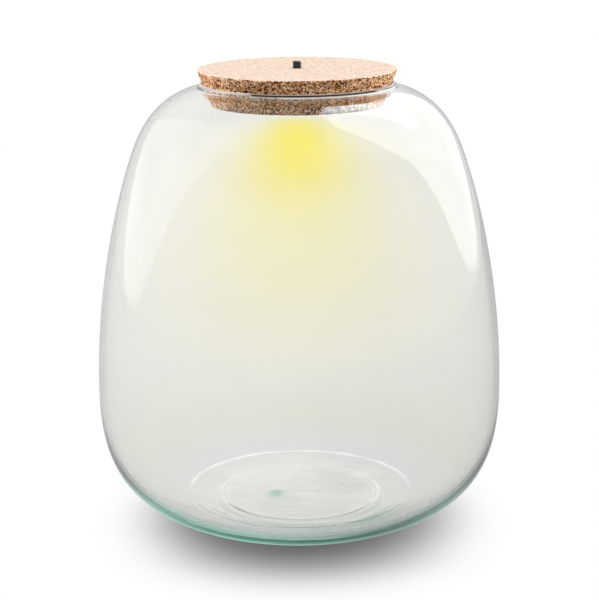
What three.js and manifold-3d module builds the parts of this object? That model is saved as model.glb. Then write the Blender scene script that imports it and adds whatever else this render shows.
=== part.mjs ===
// Lighted terrarium bottle: a blown glass bottle with a round bottom, and a tapered cork
// stopper that holds a battery light, worked by a push button in the middle of its top.
// Millimetres, +Z up. The origin is on the bottle's axis, where its foot meets the table.

import * as THREE from 'three';
import { mergeVertices } from 'three/addons/utils/BufferGeometryUtils.js';
import Module from 'manifold-3d';

const wasm = await Module();
wasm.setup();

// Clearances
const SEAT_GAP = 0.3; // between pieces that rest on each other
const SLIDE_GAP = 0.25; // round what slides or turns in a hole
const BITE_GAP = 0.1; // round a screw or a stem that grips its hole

// Glass bottle
const BELLY_RADIUS = 125;
const BELLY_HEIGHT = 81;
const FOOT_RADIUS = 46;
const FOOT_WIDTH = 5; // flat ring that stands on the table
const FOOT_SWEEP = 62; // how far the bottom runs out before it turns up
const FOOT_SLOPE = 4.8; // degrees
const BELLY_FALL = 50; // length of the belly's upright tangent, downwards
const BELLY_RISE = 70; // and upwards
const SHOULDER_RADIUS = 98;
const SHOULDER_HEIGHT = 235;
const SHOULDER_SLOPE = 67.4; // degrees from the horizontal
const SHOULDER_FALL = 25;
const SHOULDER_RISE = 24;
const NECK_DROP = 2.5; // from the top of the lip to the root of the shoulder
const NECK_SWEEP = 14.5;
const NECK_SLOPE = 10.2; // degrees
const LIP_HEIGHT = 270.8;
const LIP_WALL = 3;
const SIDE_WALL = 3;
const BASE_WALL = 7;
const PUNT_RISE = 3.5; // the kick-up in the middle of the bottom
const PUNT_WALL = 5;

// Cork stopper
const CORK_TOP_RADIUS = 60.3;
const CORK_BOTTOM_RADIUS = 51;
const CORK_THICKNESS = 21.2;
const CORK_PROUD = 8.2; // how far it stands above the lip
const CORK_EDGE = 0.8;
const RECESS_RADIUS = 42.3;
const RECESS_DEPTH = 17;

// Adhesive ring between the cork and the light
const TAPE_OUTER_RADIUS = 37;
const TAPE_INNER_RADIUS = 13;
const TAPE_THICKNESS = 0.6;

// Light housing
const HOUSING_WALL = 1.8;
const HOUSING_ROOF = 1.8;
const KEY_COUNT = 3; // upright keys that stop it from turning in the cork
const KEY_WIDTH = 4;
const KEY_DEPTH = 1.2;
const RIB_WALL = 1.2;
const END_WALL = 1.5;
const BOSS_RADIUS = 2.6;

// Bayonet that holds the battery cover
const LEDGE_COUNT = 3;
const LEDGE_ARC = 40; // degrees
const LEDGE_DEPTH = 1.7;
const LEDGE_THICKNESS = 1.4;
const LEDGE_LIFT = 0.8; // from the housing's edge to the ledge
const LUG_ARC = 30; // degrees
const LUG_THICKNESS = 1.4;
const STOP_ARC = 4; // degrees

// Battery cover
const COVER_THICKNESS = 1.8;
const COVER_RIM = 1.6;
const COVER_EDGE = 0.4;
const COVER_SETBACK = 0.3; // the cover's face lies this far inside the cork's
const PAD_LENGTH = 16;
const PAD_WIDTH = 4;
const PAD_HEIGHT = 0.8;
const GRIP_COUNT = 2;
const GRIP_RADIUS = 28;
const GRIP_LENGTH = 14;
const GRIP_WIDTH = 5;
const GRIP_DEPTH = 0.9;

// Lens
const LENS_RADIUS = 6.8;
const LENS_DEPTH = 5;
const LENS_WALL = 1.2;
const LENS_FLANGE = 1.8;
const LENS_FLANGE_THICKNESS = 1;
const LENS_SEAT_WALL = 1.2;
const LENS_SEAT_HEIGHT = 1.2;

// Battery cells, size AAA
const CELL_RADIUS = 5.25;
const CELL_LENGTH = 44.5;
const CELL_EDGE = 0.5;
const CELL_NUB_RADIUS = 1.9;
const CELL_NUB_LENGTH = 0.9;
const CELL_SPACING = 41.2; // between the two axes

// Contacts
const CONTACT_THICKNESS = 0.4;
const CONTACT_HEIGHT = 8;
const CONTACT_WIDTH = 9;
const TAB_LENGTH = 4.4;
const TAB_HEIGHT = 3;
const SPRING_WIRE_RADIUS = 0.25;
const SPRING_BASE_RADIUS = 3.4;
const SPRING_TIP_RADIUS = 1.9;
const SPRING_LENGTH = 3;
const SPRING_TURNS = 3;

// Button
const BUTTON_RADIUS = 2.5;
const BUTTON_PROUD = 4.1;
const BUTTON_EDGE = 0.35;
const BUTTON_CROWN = 4.5; // solid stretch above the stem
const BUTTON_TRAVEL = 1.8;

// Push switch
const STEM_RADIUS = 1.5;
const STEM_FLANGE_RADIUS = 3;
const STEM_FLANGE_THICKNESS = 1.1;
const STEM_PILOT_RADIUS = 0.9;
const STEM_PILOT_LENGTH = 1.2;
const SWITCH_WIDTH = 8;
const SWITCH_HEIGHT = 6.6;
const SWITCH_FLOOR = 1;
const SWITCH_BORE_RADIUS = 3.3;
const PLATE_THICKNESS = 0.5;
const PLATE_LEG_LENGTH = 3.2;
const PLATE_LEG_WIDTH = 4;
const RETURN_WIRE_RADIUS = 0.2;
const RETURN_RADIUS = 2.2;
const RETURN_TURNS = 4;

// Circuit board
const BOARD_LENGTH = 36;
const BOARD_WIDTH = 22;
const BOARD_CORNER = 3;
const BOARD_THICKNESS = 1.6;
const SCREW_SPACING = 28;
const SCREW_RADIUS = 0.9;
const SCREW_BITE = 5;
const SCREW_HEAD_RADIUS = 2;
const SCREW_HEAD_HEIGHT = 1.3;
const SLOT_WIDTH = 0.5;
const SLOT_DEPTH = 0.6;

// Lamp and resistor
const LAMP_RADIUS = 2.4;
const LAMP_LENGTH = 4.6;
const LAMP_FLANGE_RADIUS = 2.8;
const LAMP_FLANGE_HEIGHT = 0.9;
const LEAD_RADIUS = 0.25;
const LAMP_LEAD_SPACING = 2.54;
const RESISTOR_RADIUS = 0.9;
const RESISTOR_LENGTH = 3.6;
const RESISTOR_LEAD_SPACING = 7.5;
const RESISTOR_OFFSET = 8; // from the board's middle

// Wires from the contacts to the board
const WIRE_RADIUS = 0.6;
const WIRE_RISE = 1.4;
const WIRE_PAD_X = 15.8;
const WIRE_PAD_Y = 8;

// Facets
const GLASS_SIDES = 56;
const CORK_SIDES = 56;
const HOUSING_SIDES = 40;
const CELL_SIDES = 20;
const SMALL_SIDES = 16;
const LEAD_SIDES = 8;
const COIL_SIDES = 5;
const COIL_STEPS = 8; // to a turn
const OUTLINE_STEPS = [8, 5, 7]; // foot to belly, belly to shoulder, shoulder to neck
const LIP_STEPS = 6;
const DOME_STEPS = 4;

// Heights that follow from these, from the cork down to the lamp
const NECK_HEIGHT = LIP_HEIGHT - NECK_DROP;
const CORK_TOP = LIP_HEIGHT + CORK_PROUD;
const CORK_BOTTOM = CORK_TOP - CORK_THICKNESS;
const RECESS_TOP = CORK_BOTTOM + RECESS_DEPTH;
const TAPE_TOP = RECESS_TOP - SEAT_GAP;
const HOUSING_TOP = TAPE_TOP - TAPE_THICKNESS - SEAT_GAP;
const HOUSING_CEILING = HOUSING_TOP - HOUSING_ROOF;
const PLATE_TOP = HOUSING_CEILING - SEAT_GAP;
const SWITCH_TOP = PLATE_TOP - PLATE_THICKNESS - SEAT_GAP;
const SWITCH_BOTTOM = SWITCH_TOP - SWITCH_HEIGHT;
const BOARD_TOP = SWITCH_BOTTOM - SEAT_GAP;
const BOARD_BOTTOM = BOARD_TOP - BOARD_THICKNESS;
const LAMP_TOP = BOARD_BOTTOM - SEAT_GAP;
const CELL_HEIGHT = HOUSING_CEILING - SEAT_GAP - CELL_RADIUS;

// Heights from the cork's lower face up to the lugs
const COVER_FACE = CORK_BOTTOM + COVER_SETBACK;
const COVER_TOP = COVER_FACE + COVER_THICKNESS;
const LEDGE_BOTTOM = CORK_BOTTOM + LEDGE_LIFT;
const LEDGE_TOP = LEDGE_BOTTOM + LEDGE_THICKNESS;
const LUG_BOTTOM = LEDGE_TOP + SEAT_GAP;
const LUG_TOP = LUG_BOTTOM + LUG_THICKNESS;
const RIB_BOTTOM = LUG_TOP + SEAT_GAP;

// Heights of the moving button and stem
const STEM_FLANGE_BOTTOM = SWITCH_TOP - STEM_FLANGE_THICKNESS;
const BUTTON_TOP = CORK_TOP + BUTTON_PROUD;
const BUTTON_BOTTOM = PLATE_TOP + BUTTON_TRAVEL + SEAT_GAP;
const SOCKET_TOP = BUTTON_TOP - BUTTON_CROWN;
const STEM_TOP = SOCKET_TOP - SEAT_GAP;

// Radii and lengths that follow
const HOUSING_RADIUS = RECESS_RADIUS - SEAT_GAP;
const HOUSING_BORE = HOUSING_RADIUS - HOUSING_WALL;
const LEDGE_RADIUS = HOUSING_BORE - LEDGE_DEPTH;
const COVER_RADIUS = LEDGE_RADIUS - SLIDE_GAP;
const LUG_RADIUS = HOUSING_BORE - SLIDE_GAP;
const LENS_FLANGE_RADIUS = LENS_RADIUS + LENS_FLANGE;
const BUTTON_HOLE_RADIUS = BUTTON_RADIUS + SLIDE_GAP;
const CELL_OFFSET = CELL_SPACING / 2;
const BAY_HALF = (CELL_LENGTH + SPRING_LENGTH) / 2 + SEAT_GAP; // to the face of a contact
const WALL_HALF = BAY_HALF + CONTACT_THICKNESS + SEAT_GAP; // to the face of an end wall
const RIB_OFFSET = CELL_RADIUS + SEAT_GAP; // from a cell's axis to the face of its rib

// Solids

const MERGE_DISTANCE = 1e-4;
const FULL_TURN = 2 * Math.PI;
const degrees = THREE.MathUtils.degToRad;

function solidFrom(geometry) {
  const bare = geometry.clone();
  bare.deleteAttribute('normal');
  bare.deleteAttribute('uv');
  const merged = mergeVertices(bare, MERGE_DISTANCE);
  const corners = merged.index.array;
  const kept = [];
  for (let i = 0; i < corners.length; i += 3) {
    const [a, b, c] = [corners[i], corners[i + 1], corners[i + 2]];
    if (a !== b && b !== c && c !== a) kept.push(a, b, c);
  }
  return new wasm.Manifold(new wasm.Mesh({
    numProp: 3,
    vertProperties: Float32Array.from(merged.attributes.position.array),
    triVerts: Uint32Array.from(kept),
  }));
}

function geometryFrom(solid) {
  const { vertProperties, triVerts } = solid.getMesh();
  const geometry = new THREE.BufferGeometry();
  geometry.setAttribute('position', new THREE.BufferAttribute(vertProperties, 3));
  geometry.setIndex(new THREE.BufferAttribute(triVerts, 1));
  geometry.computeVertexNormals();
  return geometry;
}

const join = (first, ...others) => others.reduce((whole, other) => whole.add(other), first);
const cut = (first, ...others) => others.reduce((whole, other) => whole.subtract(other), first);

// A profile of [radius, height] pairs turned round the Z axis. It runs up the outer side
// and down the inner side, and closes on itself or starts and ends on the axis.
function revolved(profile, sides) {
  const points = profile.map(([radius, height]) => new THREE.Vector2(radius, height));
  return new THREE.LatheGeometry(points, sides).rotateX(Math.PI / 2);
}

const revolve = (profile, sides) => solidFrom(revolved(profile, sides));

// The same round another upright axis
function revolveAt(profile, sides, x, y) {
  return solidFrom(revolved(profile, sides).translate(x, y, 0));
}

const rodProfile = (radius, low, high) => [[0, low], [radius, low], [radius, high], [0, high]];

function ringProfile(inner, outer, low, high) {
  return [[inner, low], [outer, low], [outer, high], [inner, high], [inner, low]];
}

function block(xRange, yRange, zRange) {
  const ranges = [xRange, yRange, zRange];
  const sizes = ranges.map(([low, high]) => high - low);
  const middles = ranges.map(([low, high]) => (low + high) / 2);
  return solidFrom(new THREE.BoxGeometry(...sizes).translate(...middles));
}

// A flat outline raised from one height to another
function prism(outline, low, high, curveSegments = SMALL_SIDES / 4) {
  const options = { depth: high - low, bevelEnabled: false, curveSegments };
  return new THREE.ExtrudeGeometry(outline, options).translate(0, 0, low);
}

// A piece of a flat ring between two directions from +X
function sector([inner, outer], [low, high], [from, to]) {
  const outline = new THREE.Shape();
  outline.absarc(0, 0, outer, degrees(from), degrees(to), false);
  outline.absarc(0, 0, inner, degrees(to), degrees(from), true);
  const steps = Math.max(2, Math.round((to - from) / (360 / HOUSING_SIDES)));
  return solidFrom(prism(outline, low, high, steps));
}

function roundedRectangle(length, width, corner) {
  const [x, y] = [length / 2 - corner, width / 2 - corner];
  const outline = new THREE.Shape();
  outline.absarc(x, y, corner, 0, Math.PI / 2);
  outline.absarc(-x, y, corner, Math.PI / 2, Math.PI);
  outline.absarc(-x, -y, corner, Math.PI, 1.5 * Math.PI);
  outline.absarc(x, -y, corner, 1.5 * Math.PI, FULL_TURN);
  return outline;
}

// A round wire along a curve
function wire(curve, radius, sides, steps) {
  const corners = Array.from({ length: sides }, (_, i) => (
    new THREE.Vector2(radius, 0).rotateAround(new THREE.Vector2(), (FULL_TURN * i) / sides)));
  const section = new THREE.Shape(corners);
  return new THREE.ExtrudeGeometry(section, { steps, extrudePath: curve, bevelEnabled: false });
}

// A helix about the Z axis, whose radius runs from one value to another
class Coil extends THREE.Curve {
  constructor(radii, heights, turns) {
    super();
    Object.assign(this, { radii, heights, turns });
  }

  getPoint(t, target = new THREE.Vector3()) {
    const radius = THREE.MathUtils.lerp(...this.radii, t);
    const angle = FULL_TURN * this.turns * t;
    const height = THREE.MathUtils.lerp(...this.heights, t);
    return target.set(radius * Math.cos(angle), radius * Math.sin(angle), height);
  }
}

const around = (count, make) => Array.from({ length: count }, (_, i) => make((360 / count) * i));
const bothSides = (make) => [1, -1].map(make);
const range = (a, b) => [Math.min(a, b), Math.max(a, b)];

// Glass bottle

function corkRadiusAt(height) {
  const share = (height - CORK_BOTTOM) / CORK_THICKNESS;
  return THREE.MathUtils.lerp(CORK_BOTTOM_RADIUS, CORK_TOP_RADIUS, share);
}

// The cork wedges where the lip begins to round over
const LIP_BEAD = LIP_WALL / 2;
const MOUTH_RADIUS = corkRadiusAt(LIP_HEIGHT - LIP_BEAD) + SEAT_GAP;
const NECK_RADIUS = MOUTH_RADIUS + LIP_WALL;

// Three curves that run into each other, from the foot to the neck
function bottleCurves() {
  const point = (x, y) => new THREE.Vector2(x, y);
  const slope = (angle, length) => point(Math.cos(degrees(angle)), Math.sin(degrees(angle)))
    .multiplyScalar(length);
  const foot = point(FOOT_RADIUS, 0);
  const belly = point(BELLY_RADIUS, BELLY_HEIGHT);
  const shoulder = point(SHOULDER_RADIUS, SHOULDER_HEIGHT);
  const neck = point(NECK_RADIUS, NECK_HEIGHT);
  const footSweep = foot.clone().add(slope(FOOT_SLOPE, FOOT_SWEEP));
  const bellyFall = point(BELLY_RADIUS, BELLY_HEIGHT - BELLY_FALL);
  const bellyRise = point(BELLY_RADIUS, BELLY_HEIGHT + BELLY_RISE);
  const shoulderFall = shoulder.clone().add(slope(-SHOULDER_SLOPE, SHOULDER_FALL));
  const shoulderRise = shoulder.clone().sub(slope(-SHOULDER_SLOPE, SHOULDER_RISE));
  const neckSweep = neck.clone().add(slope(-NECK_SLOPE, NECK_SWEEP));
  return [
    new THREE.CubicBezierCurve(foot, footSweep, bellyFall, belly),
    new THREE.CubicBezierCurve(belly, bellyRise, shoulderFall, shoulder),
    new THREE.CubicBezierCurve(shoulder, shoulderRise, neckSweep, neck),
  ];
}

// The outer wall, and the inner one at the glass's thickness, which eases from the heavy
// base to the sides
function bottleWalls() {
  const outer = [];
  const inner = [];
  bottleCurves().forEach((curve, part) => {
    const steps = OUTLINE_STEPS[part];
    for (let step = part ? 1 : 0; step <= steps; step += 1) {
      const t = step / steps;
      const { x, y } = curve.getPoint(t);
      const tangent = curve.getTangent(t);
      const wall = part ? SIDE_WALL : THREE.MathUtils.lerp(SIDE_WALL, BASE_WALL, (1 - t) ** 2);
      outer.push([x, y]);
      inner.push([x - wall * tangent.y, y + wall * tangent.x]);
    }
  });
  inner.pop(); // the mouth's bore starts here
  return { outer, inner };
}

function glassBottle() {
  const { outer, inner } = bottleWalls();
  const lip = Array.from({ length: LIP_STEPS + 1 }, (_, step) => {
    const angle = (Math.PI * step) / LIP_STEPS;
    const radius = MOUTH_RADIUS + LIP_BEAD + LIP_BEAD * Math.cos(angle);
    return [radius, LIP_HEIGHT - LIP_BEAD + LIP_BEAD * Math.sin(angle)];
  });
  const bore = [MOUTH_RADIUS, NECK_HEIGHT - LIP_BEAD];

  const puntRadius = FOOT_RADIUS - FOOT_WIDTH;
  const punt = [0, 0.3, 0.55, 0.8, 1].map((share) => (
    [puntRadius * share, PUNT_RISE * (1 - share ** 2) ** 2]));
  const [floorRadius, floorHeight] = inner[0];
  const floorRise = PUNT_RISE + PUNT_WALL - floorHeight;
  const floor = [0.75, 0.4, 0].map((share) => (
    [floorRadius * share, floorHeight + floorRise * (1 - share ** 2) ** 2]));

  return revolve([...punt, ...outer, ...lip, bore, ...inner.reverse(), ...floor], GLASS_SIDES);
}

// Cork stopper

// Three upright bars just outside the housing's wall, wider and deeper by a gap
function keys(low, high, gap = 0) {
  const inside = HOUSING_RADIUS - HOUSING_WALL / 2;
  const outside = HOUSING_RADIUS + KEY_DEPTH + gap;
  const width = KEY_WIDTH + 2 * gap;
  return around(KEY_COUNT, (angle) => {
    const bar = new THREE.BoxGeometry(outside - inside, width, high - low);
    bar.translate((inside + outside) / 2, 0, (low + high) / 2);
    return solidFrom(bar.rotateZ(degrees(angle + 90)));
  });
}

function corkStopper() {
  const lean = (CORK_EDGE * (CORK_TOP_RADIUS - CORK_BOTTOM_RADIUS)) / CORK_THICKNESS;
  const profile = [
    [RECESS_RADIUS, CORK_BOTTOM],
    [CORK_BOTTOM_RADIUS - CORK_EDGE, CORK_BOTTOM],
    [CORK_BOTTOM_RADIUS + lean, CORK_BOTTOM + CORK_EDGE],
    [CORK_TOP_RADIUS - lean, CORK_TOP - CORK_EDGE],
    [CORK_TOP_RADIUS - CORK_EDGE, CORK_TOP],
    [BUTTON_HOLE_RADIUS + CORK_EDGE / 2, CORK_TOP],
    [BUTTON_HOLE_RADIUS, CORK_TOP - CORK_EDGE / 2],
    [BUTTON_HOLE_RADIUS, RECESS_TOP],
    [RECESS_RADIUS, RECESS_TOP],
    [RECESS_RADIUS, CORK_BOTTOM],
  ];
  const grooves = keys(CORK_BOTTOM - SEAT_GAP, HOUSING_TOP + SEAT_GAP, SEAT_GAP);
  return cut(revolve(profile, CORK_SIDES), ...grooves);
}

function adhesiveRing() {
  const low = TAPE_TOP - TAPE_THICKNESS;
  return revolve(ringProfile(TAPE_INNER_RADIUS, TAPE_OUTER_RADIUS, low, TAPE_TOP), HOUSING_SIDES);
}

// Light housing

const screwPlaces = bothSides((side) => (side * SCREW_SPACING) / 2);

// Ledges that the cover's lugs turn over, each with a stop at its closed end
function bayonetLedges() {
  return around(LEDGE_COUNT, (angle) => {
    const start = angle - LEDGE_ARC / 2;
    const radii = [LEDGE_RADIUS, HOUSING_BORE + HOUSING_WALL / 2];
    const ledge = sector(radii, [LEDGE_BOTTOM, LEDGE_TOP], [start, start + LEDGE_ARC]);
    const stop = sector(radii, [LEDGE_BOTTOM, RIB_BOTTOM], [start, start + STOP_ARC]);
    return join(ledge, stop);
  });
}

// The walls of the two cell bays
function bayWalls() {
  const heights = [RIB_BOTTOM, HOUSING_CEILING + HOUSING_ROOF / 2];
  const ribEnd = BAY_HALF - SEAT_GAP;
  const walls = bothSides((side) => {
    const beside = [-1, 1].map((way) => {
      const face = side * CELL_OFFSET + way * RIB_OFFSET;
      return block([-ribEnd, ribEnd], range(face, face + way * RIB_WALL), heights);
    });
    const inner = side * (CELL_OFFSET - RIB_OFFSET - RIB_WALL);
    const outer = side * (CELL_OFFSET + RIB_OFFSET + RIB_WALL);
    const end = block([WALL_HALF, WALL_HALF + END_WALL], range(inner, outer), heights);
    return join(...beside, end);
  });
  const reach = CELL_OFFSET + RIB_OFFSET + RIB_WALL;
  const bridgeWall = block([-WALL_HALF - END_WALL, -WALL_HALF], [-reach, reach], heights);
  return join(...walls, bridgeWall);
}

function lightHousing() {
  const cup = revolve([
    [HOUSING_BORE, CORK_BOTTOM],
    [HOUSING_RADIUS, CORK_BOTTOM],
    [HOUSING_RADIUS, HOUSING_TOP],
    [BUTTON_HOLE_RADIUS, HOUSING_TOP],
    [BUTTON_HOLE_RADIUS, HOUSING_CEILING],
    [HOUSING_BORE, HOUSING_CEILING],
    [HOUSING_BORE, CORK_BOTTOM],
  ], HOUSING_SIDES);
  const bossBottom = BOARD_TOP + SEAT_GAP;
  const bossTop = HOUSING_CEILING + HOUSING_ROOF / 2;
  const bosses = screwPlaces.map((x) => (
    revolveAt(rodProfile(BOSS_RADIUS, bossBottom, bossTop), SMALL_SIDES, x, 0)));
  const pilotTop = bossBottom + SCREW_BITE + SEAT_GAP;
  const pilots = screwPlaces.map((x) => (
    revolveAt(rodProfile(SCREW_RADIUS + BITE_GAP, BOARD_TOP, pilotTop), SMALL_SIDES, x, 0)));
  const body = join(cup, bayWalls(), ...keys(CORK_BOTTOM, HOUSING_TOP), ...bayonetLedges(), ...bosses);
  return cut(body, ...pilots);
}

// Battery cover and lens

function batteryCover() {
  const holeRadius = LENS_RADIUS + SLIDE_GAP;
  const seatInner = LENS_FLANGE_RADIUS + SLIDE_GAP;
  const seatOuter = seatInner + LENS_SEAT_WALL;
  const seatTop = COVER_TOP + LENS_SEAT_HEIGHT;
  const disc = revolve([
    [holeRadius, COVER_FACE],
    [COVER_RADIUS - COVER_EDGE, COVER_FACE],
    [COVER_RADIUS, COVER_FACE + COVER_EDGE],
    [COVER_RADIUS, LUG_TOP],
    [COVER_RADIUS - COVER_RIM, LUG_TOP],
    [COVER_RADIUS - COVER_RIM, COVER_TOP],
    [seatOuter, COVER_TOP],
    [seatOuter, seatTop],
    [seatInner, seatTop],
    [seatInner, COVER_TOP],
    [holeRadius, COVER_TOP],
    [holeRadius, COVER_FACE],
  ], HOUSING_SIDES);
  const lugs = around(LEDGE_COUNT, (angle) => sector(
    [COVER_RADIUS - COVER_RIM / 2, LUG_RADIUS],
    [LUG_BOTTOM, LUG_TOP],
    [angle - LUG_ARC / 2, angle + LUG_ARC / 2]));
  const pads = bothSides((side) => block(
    [-PAD_LENGTH / 2, PAD_LENGTH / 2],
    range(side * CELL_OFFSET - PAD_WIDTH / 2, side * CELL_OFFSET + PAD_WIDTH / 2),
    [COVER_TOP - COVER_THICKNESS / 2, COVER_TOP + PAD_HEIGHT]));
  const grips = around(GRIP_COUNT, (angle) => {
    const outline = roundedRectangle(GRIP_LENGTH, GRIP_WIDTH, GRIP_WIDTH / 2);
    const groove = prism(outline, COVER_FACE - SEAT_GAP, COVER_FACE + GRIP_DEPTH);
    return solidFrom(groove.translate(0, GRIP_RADIUS, 0).rotateZ(degrees(angle)));
  });
  return cut(join(disc, ...lugs, ...pads), ...grips);
}

// A shallow dome that hangs through the cover, with a flange that rests on it
function lampLens() {
  const flangeBottom = COVER_TOP + SEAT_GAP;
  const flangeTop = flangeBottom + LENS_FLANGE_THICKNESS;
  const dome = (radius, depth) => Array.from({ length: DOME_STEPS + 1 }, (_, step) => {
    const angle = (Math.PI * step) / (2 * DOME_STEPS);
    return [radius * Math.sin(angle), flangeBottom - depth * Math.cos(angle)];
  });
  const outside = dome(LENS_RADIUS, LENS_DEPTH);
  const inside = dome(LENS_RADIUS - LENS_WALL, LENS_DEPTH - LENS_WALL).reverse();
  const flange = [
    [LENS_FLANGE_RADIUS, flangeBottom],
    [LENS_FLANGE_RADIUS, flangeTop],
    [LENS_RADIUS - LENS_WALL, flangeTop],
  ];
  return revolve([...outside, ...flange, ...inside], CELL_SIDES);
}

// Cells and contacts

// A cell lies along X, with its nub towards +X or -X
function batteryCell(side) {
  const half = CELL_LENGTH / 2;
  const can = half - CELL_NUB_LENGTH;
  const profile = [
    [0, -half],
    [CELL_RADIUS - CELL_EDGE, -half],
    [CELL_RADIUS, -half + CELL_EDGE],
    [CELL_RADIUS, can - CELL_EDGE],
    [CELL_RADIUS - CELL_EDGE, can],
    [CELL_NUB_RADIUS, can],
    [CELL_NUB_RADIUS, half],
    [0, half],
  ];
  const middle = BAY_HALF - SEAT_GAP - half; // the nub nearly touches its contact
  const cell = revolved(profile, CELL_SIDES).rotateY(Math.PI / 2).translate(middle, CELL_OFFSET, 0);
  if (side < 0) cell.rotateZ(Math.PI);
  return solidFrom(cell.translate(0, 0, CELL_HEIGHT));
}

// A plate against an end wall, as wide as yRange
function contactPlate(end, yRange) {
  const heights = [CELL_HEIGHT - CONTACT_HEIGHT / 2, CELL_HEIGHT + CONTACT_HEIGHT / 2];
  return block(range(end * BAY_HALF, end * (BAY_HALF + CONTACT_THICKNESS)), yRange, heights);
}

// A conical spring that stands on a plate and points into the bay
function contactSpring(end, y) {
  const coil = new Coil(
    [SPRING_BASE_RADIUS, SPRING_TIP_RADIUS],
    [0, SPRING_LENGTH - SPRING_WIRE_RADIUS],
    SPRING_TURNS);
  const turned = wire(coil, SPRING_WIRE_RADIUS, COIL_SIDES, COIL_STEPS * SPRING_TURNS);
  turned.rotateY((-end * Math.PI) / 2).translate(end * BAY_HALF, y, CELL_HEIGHT);
  return solidFrom(turned);
}

// The contact of one bay at +X, with a tab for its wire
function endContact(side) {
  const inner = side * (CELL_OFFSET - CONTACT_WIDTH / 2);
  const outer = side * (CELL_OFFSET + CONTACT_WIDTH / 2);
  const tab = block(
    [BAY_HALF, BAY_HALF + CONTACT_THICKNESS],
    range(inner - side * TAB_LENGTH, inner + side * CONTACT_THICKNESS),
    [CELL_HEIGHT - TAB_HEIGHT / 2, CELL_HEIGHT + TAB_HEIGHT / 2]);
  return join(contactPlate(1, range(inner, outer)), tab);
}

const positiveContact = () => endContact(1);
const negativeContact = () => join(endContact(-1), contactSpring(1, -CELL_OFFSET));

// One strip joins the far ends of both bays
function bridgeContact() {
  const reach = CELL_OFFSET + CONTACT_WIDTH / 2;
  return join(contactPlate(-1, [-reach, reach]), contactSpring(-1, CELL_OFFSET));
}

// Switch and button

function switchCase() {
  const half = SWITCH_WIDTH / 2;
  const body = block([-half, half], [-half, half], [SWITCH_BOTTOM, SWITCH_TOP]);
  const bore = rodProfile(SWITCH_BORE_RADIUS, SWITCH_BOTTOM + SWITCH_FLOOR, SWITCH_TOP + SEAT_GAP);
  return cut(body, revolve(bore, SMALL_SIDES));
}

// A steel plate that keeps the stem in, with a leg down each side of the case
function switchPlate() {
  const half = SWITCH_WIDTH / 2;
  const legInside = half + SEAT_GAP;
  const legOutside = legInside + PLATE_THICKNESS;
  const top = block([-half, half], [-legOutside, legOutside], [PLATE_TOP - PLATE_THICKNESS, PLATE_TOP]);
  const legs = bothSides((side) => block(
    [-PLATE_LEG_WIDTH / 2, PLATE_LEG_WIDTH / 2],
    range(side * legInside, side * legOutside),
    [PLATE_TOP - PLATE_LEG_LENGTH, PLATE_TOP]));
  const hole = rodProfile(STEM_RADIUS + SLIDE_GAP, PLATE_TOP - 2 * PLATE_THICKNESS, PLATE_TOP + SEAT_GAP);
  return cut(join(top, ...legs), revolve(hole, SMALL_SIDES));
}

function switchStem() {
  return revolve([
    [0, STEM_FLANGE_BOTTOM - STEM_PILOT_LENGTH],
    [STEM_PILOT_RADIUS, STEM_FLANGE_BOTTOM - STEM_PILOT_LENGTH],
    [STEM_PILOT_RADIUS, STEM_FLANGE_BOTTOM],
    [STEM_FLANGE_RADIUS, STEM_FLANGE_BOTTOM],
    [STEM_FLANGE_RADIUS, SWITCH_TOP],
    [STEM_RADIUS, SWITCH_TOP],
    [STEM_RADIUS, STEM_TOP],
    [0, STEM_TOP],
  ], SMALL_SIDES);
}

function pushButton() {
  const socket = STEM_RADIUS + BITE_GAP;
  return revolve([
    [0, SOCKET_TOP],
    [socket, SOCKET_TOP],
    [socket, BUTTON_BOTTOM],
    [BUTTON_RADIUS, BUTTON_BOTTOM],
    [BUTTON_RADIUS, BUTTON_TOP - BUTTON_EDGE],
    [BUTTON_RADIUS - BUTTON_EDGE, BUTTON_TOP],
    [0, BUTTON_TOP],
  ], CELL_SIDES);
}

function returnSpring() {
  const end = BITE_GAP + RETURN_WIRE_RADIUS;
  const heights = [SWITCH_BOTTOM + SWITCH_FLOOR + end, STEM_FLANGE_BOTTOM - end];
  const coil = new Coil([RETURN_RADIUS, RETURN_RADIUS], heights, RETURN_TURNS);
  return solidFrom(wire(coil, RETURN_WIRE_RADIUS, COIL_SIDES, COIL_STEPS * RETURN_TURNS));
}

// Circuit board and what it carries

const lampLeadPlaces = bothSides((side) => [(side * LAMP_LEAD_SPACING) / 2, 0]);
const resistorLeadPlaces = bothSides((side) => [(side * RESISTOR_LEAD_SPACING) / 2, -RESISTOR_OFFSET]);

function circuitBoard() {
  const outline = roundedRectangle(BOARD_LENGTH, BOARD_WIDTH, BOARD_CORNER);
  const hole = (radius, sides, x, y) => (
    revolveAt(rodProfile(radius, BOARD_BOTTOM - 1, BOARD_TOP + 1), sides, x, y));
  const screwHoles = screwPlaces.map((x) => hole(SCREW_RADIUS + SLIDE_GAP, SMALL_SIDES, x, 0));
  const leadHoles = [...lampLeadPlaces, ...resistorLeadPlaces].map(([x, y]) => (
    hole(LEAD_RADIUS + SLIDE_GAP, LEAD_SIDES, x, y)));
  return cut(solidFrom(prism(outline, BOARD_BOTTOM, BOARD_TOP)), ...screwHoles, ...leadHoles);
}

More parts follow.
